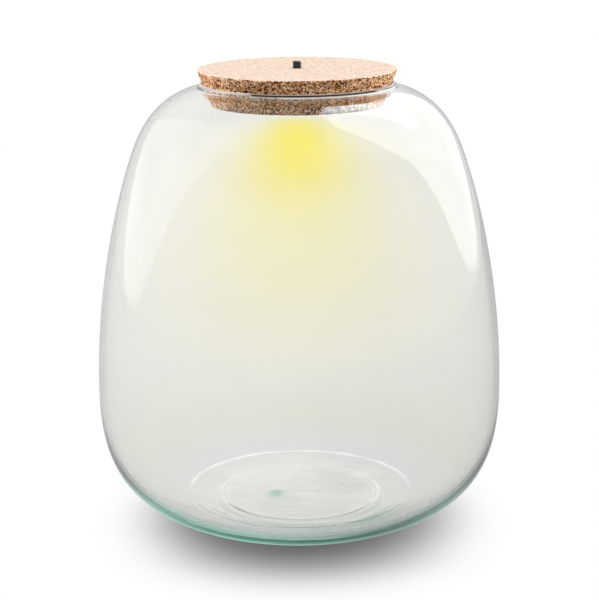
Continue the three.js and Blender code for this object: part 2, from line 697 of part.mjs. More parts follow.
function boardScrew(x) {
  const headBottom = LAMP_TOP - SCREW_HEAD_HEIGHT;
  const tip = BOARD_TOP + SEAT_GAP + SCREW_BITE;
  const screw = revolveAt([
    [0, headBottom],
    [SCREW_HEAD_RADIUS * 0.7, headBottom],
    [SCREW_HEAD_RADIUS, headBottom + SCREW_HEAD_HEIGHT / 2],
    [SCREW_HEAD_RADIUS, LAMP_TOP],
    [SCREW_RADIUS, LAMP_TOP],
    [SCREW_RADIUS, tip - SCREW_RADIUS],
    [0, tip],
  ], SMALL_SIDES, x, 0);
  const long = SCREW_HEAD_RADIUS * 0.6;
  const half = SLOT_WIDTH / 2;
  const depth = [headBottom - SEAT_GAP, headBottom + SLOT_DEPTH];
  const cross = join(
    block([x - long, x + long], [-half, half], depth),
    block([x - half, x + half], [-long, long], depth));
  return cut(screw, cross);
}

// A wide-angle lamp: a flange against the board and a low dome
function lamp() {
  const bottom = LAMP_TOP - LAMP_LENGTH;
  const dome = Array.from({ length: DOME_STEPS + 1 }, (_, step) => {
    const angle = (Math.PI * step) / (2 * DOME_STEPS);
    return [LAMP_RADIUS * Math.sin(angle), bottom + (LAMP_RADIUS / 2) * (1 - Math.cos(angle))];
  });
  return revolve([
    ...dome,
    [LAMP_RADIUS, LAMP_TOP - LAMP_FLANGE_HEIGHT],
    [LAMP_FLANGE_RADIUS, LAMP_TOP - LAMP_FLANGE_HEIGHT],
    [LAMP_FLANGE_RADIUS, LAMP_TOP],
    [0, LAMP_TOP],
  ], CELL_SIDES);
}

function lampLead([x, y]) {
  const profile = rodProfile(LEAD_RADIUS, LAMP_TOP + BITE_GAP, BOARD_TOP + BITE_GAP);
  return revolveAt(profile, LEAD_SIDES, x, y);
}

// The resistor lies on the board, and its leads bend down through it
function resistor() {
  const half = RESISTOR_LENGTH / 2;
  const bulb = RESISTOR_RADIUS;
  const body = revolved([
    [0, -half], [bulb * 0.7, -half], [bulb, -half + bulb / 2], [bulb * 0.85, -half + 1.5 * bulb],
    [bulb * 0.85, half - 1.5 * bulb], [bulb, half - bulb / 2], [bulb * 0.7, half], [0, half],
  ], SMALL_SIDES);
  const height = BOARD_TOP + SEAT_GAP + RESISTOR_RADIUS;
  body.rotateY(Math.PI / 2).translate(0, -RESISTOR_OFFSET, height);
  const leads = resistorLeadPlaces.map(([x, y]) => {
    const inward = x - Math.sign(x) * RESISTOR_RADIUS;
    const route = new THREE.CatmullRomCurve3([
      new THREE.Vector3(Math.sign(x) * (half - RESISTOR_RADIUS / 2), y, height),
      new THREE.Vector3(inward, y, height),
      new THREE.Vector3(x, y, height - RESISTOR_RADIUS),
      new THREE.Vector3(x, y, BOARD_BOTTOM - SEAT_GAP),
    ]);
    return solidFrom(wire(route, LEAD_RADIUS, LEAD_SIDES, 8));
  });
  return join(solidFrom(body), ...leads);
}

// Each wire leaves its contact's tab along X, and drops onto its pad on the board
function contactWire(side) {
  const start = BAY_HALF - BITE_GAP;
  const tabEnd = CELL_OFFSET - CONTACT_WIDTH / 2 - TAB_LENGTH;
  const y = tabEnd + WIRE_RADIUS + SEAT_GAP;
  const route = new THREE.CatmullRomCurve3([
    new THREE.Vector3(start, side * y, CELL_HEIGHT),
    new THREE.Vector3(start - 2, side * y, CELL_HEIGHT),
    new THREE.Vector3((start + WIRE_PAD_X) / 2, side * (y + WIRE_PAD_Y) / 2, CELL_HEIGHT + WIRE_RISE),
    new THREE.Vector3(WIRE_PAD_X, side * WIRE_PAD_Y, CELL_HEIGHT),
    new THREE.Vector3(WIRE_PAD_X, side * WIRE_PAD_Y, BOARD_TOP + BITE_GAP),
  ]);
  return solidFrom(wire(route, WIRE_RADIUS, LEAD_SIDES, 14));
}

// Finishes

const finish = (color, roughness, metalness = 0, extra = {}) => (
  () => new THREE.MeshStandardMaterial({ color, roughness, metalness, ...extra }));

const glass = finish('#dfeae6', 0.03, 0, { transparent: true, opacity: 0.35 });
const cork = finish('#d9b48c', 0.9);
const foam = finish('#e8e6df', 0.8);
const whitePlastic = finish('#ece9e2', 0.45);
const blackPlastic = finish('#1f1f20', 0.35);
const stemPlastic = finish('#d8d4c8', 0.5);
const frostedPlastic = finish('#f6edc0', 0.55, 0, { transparent: true, opacity: 0.7 });
const lampResin = finish('#f4df6a', 0.15);
const steel = finish('#b9bcc0', 0.3, 1);
const nickel = finish('#c9c6bd', 0.25, 1);
const boardResin = finish('#2f6b45', 0.5);
const resistorPaint = finish('#c9b58a', 0.5);
const cellWrap = finish('#3a3f46', 0.35);
const redInsulation = finish('#b3261e', 0.45);
const blackInsulation = finish('#1b1b1c', 0.45);

// Assembly

const bottle = new THREE.Group();

function place(name, solid, material) {
  const mesh = new THREE.Mesh(geometryFrom(solid), material());
  mesh.name = name;
  bottle.add(mesh);
}

place('glass_bottle', glassBottle(), glass);
place('cork_stopper', corkStopper(), cork);
place('adhesive_ring', adhesiveRing(), foam);
place('light_housing', lightHousing(), whitePlastic);
place('push_button', pushButton(), blackPlastic);
place('switch_stem', switchStem(), stemPlastic);
place('switch_plate', switchPlate(), steel);
place('switch_case', switchCase(), blackPlastic);
place('return_spring', returnSpring(), steel);
place('circuit_board', circuitBoard(), boardResin);
screwPlaces.forEach((x, i) => place(`board_screw_${i + 1}`, boardScrew(x), steel));
place('lamp', lamp(), lampResin);
lampLeadPlaces.forEach((spot, i) => place(`lamp_lead_${i + 1}`, lampLead(spot), nickel));
place('resistor', resistor(), resistorPaint);
place('battery_cell_1', batteryCell(1), cellWrap);
place('battery_cell_2', batteryCell(-1), cellWrap);
place('positive_contact', positiveContact(), nickel);
place('negative_contact', negativeContact(), nickel);
place('bridge_contact', bridgeContact(), nickel);
place('red_wire', contactWire(1), redInsulation);
place('black_wire', contactWire(-1), blackInsulation);
place('battery_cover', batteryCover(), whitePlastic);
place('lamp_lens', lampLens(), frostedPlastic);

export default bottle;
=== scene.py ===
import functools
import math

import bmesh
import bpy
from mathutils import Matrix, Vector, noise


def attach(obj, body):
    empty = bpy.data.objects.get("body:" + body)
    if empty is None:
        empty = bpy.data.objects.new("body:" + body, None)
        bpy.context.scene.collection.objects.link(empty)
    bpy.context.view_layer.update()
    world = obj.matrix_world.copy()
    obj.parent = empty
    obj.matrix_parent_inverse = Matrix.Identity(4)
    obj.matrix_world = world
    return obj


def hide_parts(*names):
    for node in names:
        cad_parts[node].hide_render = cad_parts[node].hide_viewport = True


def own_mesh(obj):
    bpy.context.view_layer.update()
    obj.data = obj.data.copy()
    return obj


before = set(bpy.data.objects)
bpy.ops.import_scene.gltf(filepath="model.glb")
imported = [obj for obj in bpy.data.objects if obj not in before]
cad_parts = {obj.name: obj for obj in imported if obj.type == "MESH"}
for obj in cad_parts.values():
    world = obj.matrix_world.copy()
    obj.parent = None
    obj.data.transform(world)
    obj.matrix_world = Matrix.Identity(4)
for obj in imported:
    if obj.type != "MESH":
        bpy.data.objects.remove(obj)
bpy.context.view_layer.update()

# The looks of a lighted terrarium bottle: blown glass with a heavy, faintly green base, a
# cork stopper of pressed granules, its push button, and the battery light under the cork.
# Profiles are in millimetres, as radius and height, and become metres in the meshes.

MM = 0.001
WHITE = (1.0, 1.0, 1.0)


# Sums on shader sockets, and node trees

class Reading:
    """A shader socket that takes part in ordinary sums."""

    def __init__(self, tree, socket):
        self.tree = tree
        self.socket = socket

    def _sum(self, operation, *terms):
        node = self.tree.nodes.new("ShaderNodeMath")
        node.operation = operation
        for slot, term in zip(node.inputs, terms):
            feed(self.tree, slot, term)
        return Reading(self.tree, node.outputs[0])

    def __add__(self, other):
        return self._sum("ADD", self, other)

    def __radd__(self, other):
        return self._sum("ADD", other, self)

    def __sub__(self, other):
        return self._sum("SUBTRACT", self, other)

    def __rsub__(self, other):
        return self._sum("SUBTRACT", other, self)

    def __mul__(self, other):
        return self._sum("MULTIPLY", self, other)

    def __rmul__(self, other):
        return self._sum("MULTIPLY", other, self)

    def __truediv__(self, other):
        return self._sum("DIVIDE", self, other)

    def __rtruediv__(self, other):
        return self._sum("DIVIDE", other, self)

    def __pow__(self, other):
        return self._sum("POWER", self, other)

    def __neg__(self):
        return self._sum("MULTIPLY", self, -1.0)

    def least(self, other):
        return self._sum("MINIMUM", self, other)

    def most(self, other):
        return self._sum("MAXIMUM", self, other)

    def exp(self):
        return self._sum("EXPONENT", self)

    def sine(self):
        return self._sum("SINE", self)

    def size(self):
        return self._sum("ABSOLUTE", self)

    def root(self):
        return self._sum("SQRT", self)

    def bell(self):
        """1 at zero, falling softly to 0 on both sides."""
        return (-(self ** 2)).exp()


def strongest(readings):
    """The largest of several readings at each point."""
    return functools.reduce(Reading.most, readings)


def feed(tree, slot, term):
    """Sets a socket to a number or colour, or links a reading to it."""
    if isinstance(term, Reading):
        tree.links.new(term.socket, slot)
    elif slot.type == "RGBA" and len(term) == 3:
        slot.default_value = (*term, 1.0)
    else:
        slot.default_value = term


def linear(red, green, blue):
    """A colour as it looks on screen, from 0 to 255, as shader values."""
    def one(level):
        share = level / 255
        return share / 12.92 if share <= 0.04045 else ((share + 0.055) / 1.055) ** 2.4
    return one(red), one(green), one(blue)


class Finish:
    """Builds one node tree: of a material, or of the world."""

    def __init__(self, name=None, tree=None):
        self.material = None
        if tree is None:
            self.material = bpy.data.materials.new(name)
            self.material.use_nodes = True
            tree = self.material.node_tree
        self.tree = tree
        tree.nodes.clear()
        self.place = None

    def node(self, kind, settings=None, values=None):
        """Adds any node from its type, its settings and the values or links of its sockets."""
        made = self.tree.nodes.new("ShaderNode" + kind)
        for name, setting in (settings or {}).items():
            if name == "stops":
                ramp = made.color_ramp.elements
                while len(ramp) < len(setting):
                    ramp.new(0.5)
                for element, (position, colour) in zip(ramp, setting):
                    element.position = position
                    element.color = (*colour, 1.0)
            else:
                setattr(made, name, setting)
        for slot, value in (values or {}).items():
            feed(self.tree, made.inputs[slot], value)
        return made

    def read(self, made, output=0):
        """Takes one output of a node."""
        return Reading(self.tree, made.outputs[output])

    def position(self):
        """The point on the piece, in millimetres."""
        if self.place is None:
            self.place = self.scaled(self.read(self.node("TexCoord"), "Object"), 1 / MM)
        return self.place

    def axes(self, vector):
        """The three parts of a vector."""
        parts = self.node("SeparateXYZ", None, {"Vector": vector})
        return [self.read(parts, i) for i in range(3)]

    def scaled(self, vector, factor):
        return self.read(self.node("VectorMath", {"operation": "SCALE"}, {
            "Vector": vector, "Scale": factor}))

    def stretched(self, vector, factors):
        """Each part of a vector times its own factor."""
        return self.read(self.node("VectorMath", {"operation": "MULTIPLY"}, {
            0: vector, 1: factors}))

    def grain(self, size, detail=3.0, rough=0.5, vector=None, output="Fac"):
        """Soft noise with features of about that many millimetres."""
        made = self.node("TexNoise", None, {
            "Vector": self.position() if vector is None else vector,
            "Scale": 1 / size, "Detail": detail, "Roughness": rough})
        return self.read(made, output)

    def granules(self, size, feature="F1", output="Distance", vector=None):
        """Cells of about that many millimetres."""
        made = self.node("TexVoronoi", {"feature": feature}, {
            "Vector": self.position() if vector is None else vector, "Scale": 1 / size})
        return self.read(made, output)

    def step(self, value, low, high, start=0.0, end=1.0, soft=True):
        """Runs from start to end while value goes from low to high."""
        made = self.node("MapRange", {
            "interpolation_type": "SMOOTHSTEP" if soft else "LINEAR", "clamp": True}, {
            "Value": value, "From Min": low, "From Max": high, "To Min": start, "To Max": end})
        return self.read(made)

    def blend(self, factor, first, second, kind="MIX"):
        """Mixes two colours."""
        made = self.node("Mix", {"data_type": "RGBA", "blend_type": kind}, {
            0: factor, 6: first, 7: second})
        return self.read(made, 2)

    def tinted(self, colour, tint):
        """Multiplies two colours."""
        return self.blend(1.0, colour, tint, "MULTIPLY")

    def grey(self, level):
        return self.read(self.node("CombineColor", None, {0: level, 1: level, 2: level}))

    def shades(self, value, stops):
        """A colour from a row of positions and colours."""
        return self.read(self.node("ValToRGB", {"stops": stops}, {"Fac": value}), "Color")

    def bumped(self, height, depth):
        """A normal that follows a height from 0 to 1 over a depth in millimetres."""
        return self.read(self.node("Bump", None, {
            "Height": height, "Strength": 1.0, "Distance": depth * MM}), "Normal")

    def ray(self, kind):
        """A fact about the ray, such as 1 where it comes from the camera."""
        return self.read(self.node("LightPath"), kind)

    def off_first_wall(self):
        """1 for what the glass's first wall reflects, which has a ray depth of 3 at most, and
        0 for what shows through the glass."""
        return self.step(self.ray("Ray Depth"), 3.4, 3.6, 1.0, 0.0)

    def matt(self, colour):
        return self.read(self.node("BsdfDiffuse", None, {"Color": colour}))

    def clear(self, colour):
        return self.read(self.node("BsdfTransparent", None, {"Color": colour}))

    def shining(self, colour, strength=1.0):
        return self.read(self.node("Emission", None, {"Color": colour, "Strength": strength}))

    def both(self, first, second):
        """Adds two shaders."""
        return self.read(self.node("AddShader", None, {0: first, 1: second}))

    def either(self, factor, first, second):
        """Mixes two shaders."""
        return self.read(self.node("MixShader", None, {0: factor, 1: first, 2: second}))

    def show(self, shader, volume=None):
        """Ends the tree. Gives the material, or nothing for the world."""
        sockets = {"Surface": shader}
        if volume is not None:
            sockets["Volume"] = volume
        self.node("OutputMaterial" if self.material else "OutputWorld", None, sockets)
        return self.material

    def solid(self, **sockets):
        """A Principled shader. An underscore stands for each space in a socket's name."""
        values = {name.replace("_", " "): value for name, value in sockets.items()}
        return self.read(self.node("BsdfPrincipled", None, values))


# Mesh making

def piece(name, points, faces, finish, sharp=40):
    """A smooth mesh object from points in millimetres, with edges kept where faces meet at
    more than the angle sharp, in degrees."""
    mesh = bpy.data.meshes.new(name)
    mesh.from_pydata([(x * MM, y * MM, z * MM) for x, y, z in points], [], faces)
    mesh.validate()
    mesh.shade_smooth()
    mesh.set_sharp_from_angle(angle=math.radians(sharp))
    made = bpy.data.objects.new(name, mesh)
    bpy.context.scene.collection.objects.link(made)
    mesh.materials.append(finish)
    return made


def turned(profile, sides, shift=None):
    """Points and faces of a profile turned round Z. It runs up the outer side and down the
    inner side. Ends on the axis become one point; otherwise the profile closes on itself."""
    points, rows = [], []
    for index, (radius, height) in enumerate(profile):
        if radius < 1e-6:
            rows.append([len(points)])
            points.append((0.0, 0.0, height))
            continue
        row = []
        for side in range(sides):
            angle = math.tau * side / sides
            x, y, z = radius * math.cos(angle), radius * math.sin(angle), height
            if shift is not None:
                x, y, z = shift(index, angle, x, y, z)
            row.append(len(points))
            points.append((x, y, z))
        rows.append(row)
    on_axis = len(rows[0]) == 1 and len(rows[-1]) == 1
    pairs = list(zip(rows, rows[1:])) + ([] if on_axis else [(rows[-1], rows[0])])
    faces = []
    for low, high in pairs:
        for side in range(sides):
            after = (side + 1) % sides
            if len(low) == 1 and len(high) == 1:
                continue
            if len(low) == 1:
                faces.append((low[0], high[after], high[side]))
            elif len(high) == 1:
                faces.append((low[side], low[after], high[0]))
            else:
                faces.append((low[side], low[after], high[after], high[side]))
    return points, faces


def eased(profile, radius, closed=True):
    """Rounds the corners of a profile."""
    count, steps, result = len(profile), 4, []
    for index, corner in enumerate(profile):
        ends = not closed and index in (0, count - 1)
        before, after = profile[index - 1], profile[(index + 1) % count]
        if ends or corner[0] < 1e-6:
            result.append(corner)
            continue
        here = Vector(corner)
        back, ahead = Vector(before) - here, Vector(after) - here
        if back.length < 1e-6 or ahead.length < 1e-6:
            continue
        if back.angle(ahead) > math.radians(165):
            result.append(corner)
            continue
        cut = min(radius, back.length * 0.45, ahead.length * 0.45)
        start, end = here + back.normalized() * cut, here + ahead.normalized() * cut
        for step in range(steps + 1):
            t = step / steps
            spot = start * (1 - t) ** 2 + here * 2 * t * (1 - t) + end * t ** 2
            result.append((spot.x, spot.y))
    return result


def curve_points(corners, steps, skip_first):
    """Shares, points and tangents on a cubic curve through two ends and two handles."""
    a, b, c, d = (Vector(corner) for corner in corners)
    result = []
    for step in range(1 if skip_first else 0, steps + 1):
        t = step / steps
        rest = 1 - t
        spot = a * rest ** 3 + b * 3 * t * rest ** 2 + c * 3 * t * t * rest + d * t ** 3
        tangent = (b - a) * rest ** 2 + (c - b) * 2 * t * rest + (d - c) * t * t
        result.append((t, spot, tangent.normalized()))
    return result


def spread(low, high, count):
    """Even steps from low to high, without the ends."""
    return [low + (high - low) * (i + 1) / (count + 1) for i in range(count)]


def joined(bodies):
    """Points and faces of several bodies as one."""
    points, faces = [], []
    for more_points, more_faces in bodies:
        faces += [tuple(len(points) + i for i in face) for face in more_faces]
        points += more_points
    return points, faces


def tube(route, radius, sides):
    """A round wire along a list of points, with flat ends."""
    route = [Vector(p) for p in route]
    points, faces = [], []
    reference = Vector((0.0, 0.0, 1.0))
    for index, spot in enumerate(route):
        ahead = route[min(index + 1, len(route) - 1)] - route[max(index - 1, 0)]
        ahead.normalize()
        if index == 0 and abs(ahead.dot(reference)) > 0.9:
            reference = Vector((1.0, 0.0, 0.0))
        side = (reference - ahead * reference.dot(ahead)).normalized()
        reference = side
        other = ahead.cross(side)
        for step in range(sides):
            angle = math.tau * step / sides
            points.append(tuple(spot + side * radius * math.cos(angle)
                                + other * radius * math.sin(angle)))
    for index in range(len(route) - 1):
        for step in range(sides):
            after = (step + 1) % sides
            a, b = index * sides, (index + 1) * sides
            faces.append((a + step, a + after, b + after, b + step))
    faces.append(tuple(reversed(range(sides))))
    faces.append(tuple(range((len(route) - 1) * sides, len(route) * sides)))
    return points, faces


def slab(x_range, y_range, z_range):
    """A box with eased edges."""
    form = bmesh.new()
    bmesh.ops.create_cube(form, size=1.0)
    sizes = [high - low for low, high in (x_range, y_range, z_range)]
    middles = [(high + low) / 2 for low, high in (x_range, y_range, z_range)]
    for vertex in form.verts:
        vertex.co = Vector([vertex.co[i] * sizes[i] + middles[i] for i in range(3)])
    bmesh.ops.bevel(form, geom=form.edges[:], offset=min(0.15, min(sizes) * 0.3),
                    segments=2, affect="EDGES", profile=0.5)
    form.verts.index_update()
    points = [tuple(vertex.co) for vertex in form.verts]
    faces = [tuple(vertex.index for vertex in face.verts) for face in form.faces]
    form.free()
    return points, faces


def sector(inner, outer, low, high, start, end):
    """A part of a flat ring between two directions in degrees."""
    steps, points, faces = 10, [], []
    for step in range(steps + 1):
        angle = math.radians(start + (end - start) * step / steps)
        for radius, height in ((inner, low), (outer, low), (outer, high), (inner, high)):
            points.append((radius * math.cos(angle), radius * math.sin(angle), height))
    for step in range(steps):
        a, b = step * 4, step * 4 + 4
        for i in range(4):
            j = (i + 1) % 4
            faces.append((a + i, a + j, b + j, b + i))
    faces.append((3, 2, 1, 0))
    last = steps * 4
    faces.append((last, last + 1, last + 2, last + 3))
    return points, faces


def coil(radius, low, high, turns, steps):
    """Points of a spring about Z, with that many steps to a turn."""
    count = int(turns * steps)
    result = []
    for i in range(count + 1):
        angle = math.tau * turns * i / count
        result.append((radius * math.cos(angle), radius * math.sin(angle),
                       low + (high - low) * i / count))
    return result


# Sizes, in millimetres, as in the frame

LIP_HEIGHT, LIP_BEAD = 270.8, 1.5
MOUTH_RADIUS, NECK_RADIUS, NECK_HEIGHT = 56.35, 59.35, 268.3
SIDE_WALL, BASE_WALL = 3.0, 7.0
FOOT_RADIUS, PUNT_RADIUS, BASE_BOW = 46.0, 41.0, 2.5
# The bottle's outside from the foot to the neck: cubic curves, and the steps on each
WALL_CURVES = [
    [(FOOT_RADIUS, 0.0), (107.78, 5.19), (125.0, 31.0), (125.0, 81.0)],
    [(125.0, 81.0), (125.0, 151.0), (107.61, 211.92), (98.0, 235.0)],
    [(98.0, 235.0), (88.78, 257.16), (73.62, 265.73), (NECK_RADIUS, NECK_HEIGHT)],
]
WALL_STEPS = (128, 48, 40)
BOTTLE_SIDES, CORK_SIDES = 192, 480

CORK_TOP, CORK_BOTTOM, RECESS_TOP = 279.0, 257.8, 274.8
CORK_TOP_RADIUS, CORK_BOTTOM_RADIUS, CORK_EDGE = 60.3, 51.0, 0.8
RECESS_RADIUS, BUTTON_HOLE_RADIUS = 42.3, 2.75

# The slots in the recess for the housing's three keys: their directions in degrees, and the
# room they leave beside and above a key
KEY_DIRECTIONS, KEY_WIDTH, KEY_DEPTH = (90, 210, 330), 4.0, 1.2
HOUSING_TOP, KEY_ROOM = 273.6, 0.8
KEY_TOP = HOUSING_TOP + 0.2

COVER_RADIUS, COVER_FACE, COVER_TOP, COVER_WALL = 38.25, 258.1, 259.9, 1.6
LUG_RADIUS, LUG_BOTTOM, LUG_TOP = 39.95, 260.3, 261.7
LUG_DIRECTIONS, LUG_HALF_TURN = (0, 120, 240), 15
REST_LENGTH, REST_WIDTH = 16.0, 4.0
LENS_RADIUS, LENS_DEPTH, LENS_WALL = 6.8, 5.0, 1.2
LENS_FLANGE_RADIUS, LENS_FLANGE, LENS_GAP = 8.6, 1.0, 0.25

BUTTON_RADIUS, BUTTON_TOP, BUTTON_BOTTOM = 2.5, 283.1, 273.6
SOCKET_RADIUS, SOCKET_TOP = 1.6, 278.6

CELL_HALF, CELL_OFFSET = 22.25, 20.6
BOARD_HALF, RESISTOR_HALF = (18.0, 11.0), 1.8


# Glass bottle

# Marks in the poured base, as seen from above: middle, half sizes, turn in radians, strength
GREEN_MARKS = [
    ((-15.0, -5.0), (5.0, 3.6), 0.0, 0.9), ((0.6, 7.6), (3.0, 2.0), 0.0, 0.35),
    ((45.0, -54.0), (16.0, 4.0), 0.75, 0.85), ((8.0, -63.0), (40.0, 2.2), 0.1, 0.4),
    ((48.0, -61.0), (20.0, 12.0), 0.6, 0.5)]
DARKER_PATCHES = [
    ((16.0, -45.0), (44.0, 26.0), 0.0, 1.0), ((62.0, -20.0), (26.0, 40.0), 0.0, 0.3),
    ((27.0, 16.0), (16.0, 34.0), 0.0, 0.6), ((-4.0, -60.0), (28.0, 16.0), 0.0, 0.8)]
PALE_PATCH = ((-16.0, 30.0), (28.0, 24.0), 0.0, 1.0)


def blown_glass():
    """Clear at the sides, painted a little darker low down as painted shade, with a green rim
    where light is caught in the thick base, and faint rings and streaks in the base. The rim, the
    lip and the rings carry painted highlights and painted shade. Lamps shine through it."""
    glass = Finish("blown_glass")
    spot = glass.position()
    x, y, z = glass.axes(spot)
    across = (x * x + y * y).root()
    grazing = glass.read(glass.node("LayerWeight", None, {"Blend": 0.5}), "Facing")
    streaks = glass.grain(14.0, 3.0, 0.55, glass.stretched(spot, (0.5, 1.4, 1.0)))

    def patch(middle, half, turn, strength):
        """An oval patch that fades over its half sizes."""
        c, d = math.cos(turn), math.sin(turn)
        along = ((x - middle[0]) * c + (y - middle[1]) * d) / half[0]
        beside = ((y - middle[1]) * c - (x - middle[0]) * d) / half[1]
        return (-(along * along + beside * beside + (streaks - 0.5) * 1.5)).exp() * strength

    def ring(radius, half, wander):
        """1 on a ring of the base, fading over its half width."""
        return ((across - radius - (streaks - 0.5) * wander) / half).bell()

    # The poured base: streaked, darker in some patches and paler in one, with a few green marks
    # and swirls
    swirled = glass.step(x, -16.0, 14.0) * glass.step(x, 48.0, 66.0, 1.0, 0.0) * glass.step(
        y, -50.0, -30.0, 1.0, 0.0)
    marks = strongest([patch(*mark) for mark in GREEN_MARKS] + [
        ring(69.0, 1.4, 3.0) * swirled * 0.6, ring(77.0, 1.5, 3.0) * swirled * 0.5])
    poured = glass.blend(glass.step(streaks, 0.3, 0.7), linear(234, 239, 239),
                         linear(254, 254, 255))
    poured = glass.blend(glass.step(across, 48.0, 84.0), poured, linear(239, 241, 243))
    poured = glass.blend(patch(*PALE_PATCH).least(1.0), poured, WHITE)
    shade = strongest([patch(*place) for place in DARKER_PATCHES])
    poured = glass.blend(shade.least(1.0) * 0.9, poured, linear(227, 233, 231))
    poured = glass.blend(marks.least(1.0), poured, linear(120, 182, 158))
    # The side walls' tint is darker low down and paler higher up: painted shade
    sides = glass.blend(glass.step(z, 30.0, 170.0, soft=False), linear(238, 239, 235),
                        linear(251, 251, 249))
    tint = glass.blend(glass.step(z, 9.5, 20.0, 1.0, 0.0), sides, poured)
    body = glass.solid(Base_Color=tint, Roughness=0.0, IOR=1.48, Transmission_Weight=1.0)
    seen = glass.ray("Is Camera Ray")

    # The rim, shown only to rays straight from the camera: the glass's green, pale at its very
    # edge as a painted highlight, and dark green inside it, partly the glass's own green and
    # partly painted shade, with lines along it
    laid = glass.grain(1.1, 2.0, 0.5, glass.stretched(spot, (0.03, 0.03, 1.0)))
    even = grazing - glass.step(x, -20.0, -60.0) * 0.035 + (streaks - 0.5) * 0.08
    slant = even + (laid - 0.5) * 0.12
    caught = glass.step(even, 0.48, 0.62) * glass.step(z, 6.0, 46.0, 1.0, 0.0) * 0.92
    # A grey matt veil on the low front wall above the rim: painted shade that darkens it
    front_painted_shade = glass.step(even, 0.3, 0.46) * glass.step(z, 24.0, 44.0, 0.24, 0.0) * glass.step(
        x.size(), 30.0, 75.0, 1.0, 0.0) * glass.step(x, -55.0, -20.0)
    green = glass.shades(slant, [
        (0.5, linear(176, 190, 183)), (0.6, linear(206, 224, 217)), (0.665, linear(176, 204, 194)),
        (0.69, linear(34, 94, 76)), (0.755, linear(26, 94, 74)), (0.81, linear(104, 160, 142)),
        (0.87, linear(146, 188, 174)), (0.95, linear(190, 212, 200))])
    green = glass.blend(glass.step(z, 13.0, 34.0), green, linear(164, 192, 181))
    green = glass.blend(glass.step(even, 0.43, 0.52), linear(122, 134, 129), green)
    # The rim is painted lighter towards both ends: painted light
    painted_light_at_rim_ends = glass.blend(glass.step(x, -60.0, 50.0), (1.35, 1.65, 1.6), WHITE)
    painted_light_at_rim_ends = glass.blend(glass.step(x, 55.0, 95.0), painted_light_at_rim_ends, (1.28, 1.33, 1.32))
    green = glass.tinted(green, painted_light_at_rim_ends)
    back = glass.read(glass.node("BsdfTranslucent", None, {"Color": green}))
    body = glass.either(seen * caught.most(front_painted_shade), body,
                        glass.either(0.4, glass.matt(green), back))

    # The lip, shown only to rays straight from the camera: two painted highlights, and between
    # them a painted dark line for the shade in the gap at the cork
    def line(below, half):
        """1 that far below the lip's top, fading over its half width."""
        return ((z - LIP_HEIGHT + below) / half).bell()

    outside = seen * glass.step(across, 57.0, 57.4)
    right_of = glass.step(x, -30.0, -24.0)
    dull = 1.0 - glass.step((x + 17.0).size(), 4.0, 11.0, 0.6, 0.0)
    gap = line(0.82, 0.55) * right_of * glass.step(x, 43.0, 51.0, 1.0, 0.0) * glass.step(
        y, -40.0, -20.0, 1.0, 0.0) * 1.3
    painted_lip_lines = glass.matt(glass.blend(gap.least(1.0), (0.88, 0.88, 0.88), linear(30, 18, 12)))
    shine = strongest([
        line(0.1, 0.35) * dull * (1.0 - right_of * 0.5) * 0.8,
        line(1.85, 0.45) * right_of * dull * 0.8,
        line(0.8, 0.5) * (1.0 - right_of) * 0.36,
        gap.least(0.97),
        glass.step(z, LIP_HEIGHT - 5.0, LIP_HEIGHT - 2.0) * 0.07])
    body = glass.either(outside * shine, body, painted_lip_lines)

    # Painted highlights on the fine raised rings inside the base, where they catch light from
    # above
    rings = strongest([
        ring(70.5, 1.0, 2.0) * glass.step(y, -12.0, 24.0),
        ring(50.6, 0.9, 1.4) * glass.step(x, -10.0, 40.0, 0.3, 0.6),
        ring(47.2, 0.6, 2.2) * 0.3,
        ring(61.5, 0.7, 3.0) * swirled * 0.7,
        ring(66.0, 0.7, 3.0) * swirled * 0.7])
    rings = rings * glass.step(z, 6.0, 6.6) * glass.step(z, 14.0, 16.0, 1.0, 0.0) * glass.step(
        glass.grain(26.0, 2.0), 0.3, 0.62, 0.35, 1.0)
    body = glass.either(rings * 0.42, body, glass.matt((0.96, 0.96, 0.96)))
    passed = glass.ray("Is Shadow Ray").most(glass.ray("Is Diffuse Ray"))
    return glass.show(glass.either(passed, body, glass.clear((0.93, 0.95, 0.94))))


# Rings that the blowing leaves in the base's inside: radius, height and half width
BASE_RINGS = [(30.0, 0.1, 0.8), (49.5, 0.42, 1.3), (57.0, 0.12, 0.8), (65.0, 0.1, 0.8),
              (70.5, 0.16, 1.2)]
RINGS_BELOW = 40.0


def rings_inside(radius):
    """How far the rings stand up at a radius."""
    return sum(height * math.exp(-((radius - middle) / half) ** 2)
               for middle, height, half in BASE_RINGS)


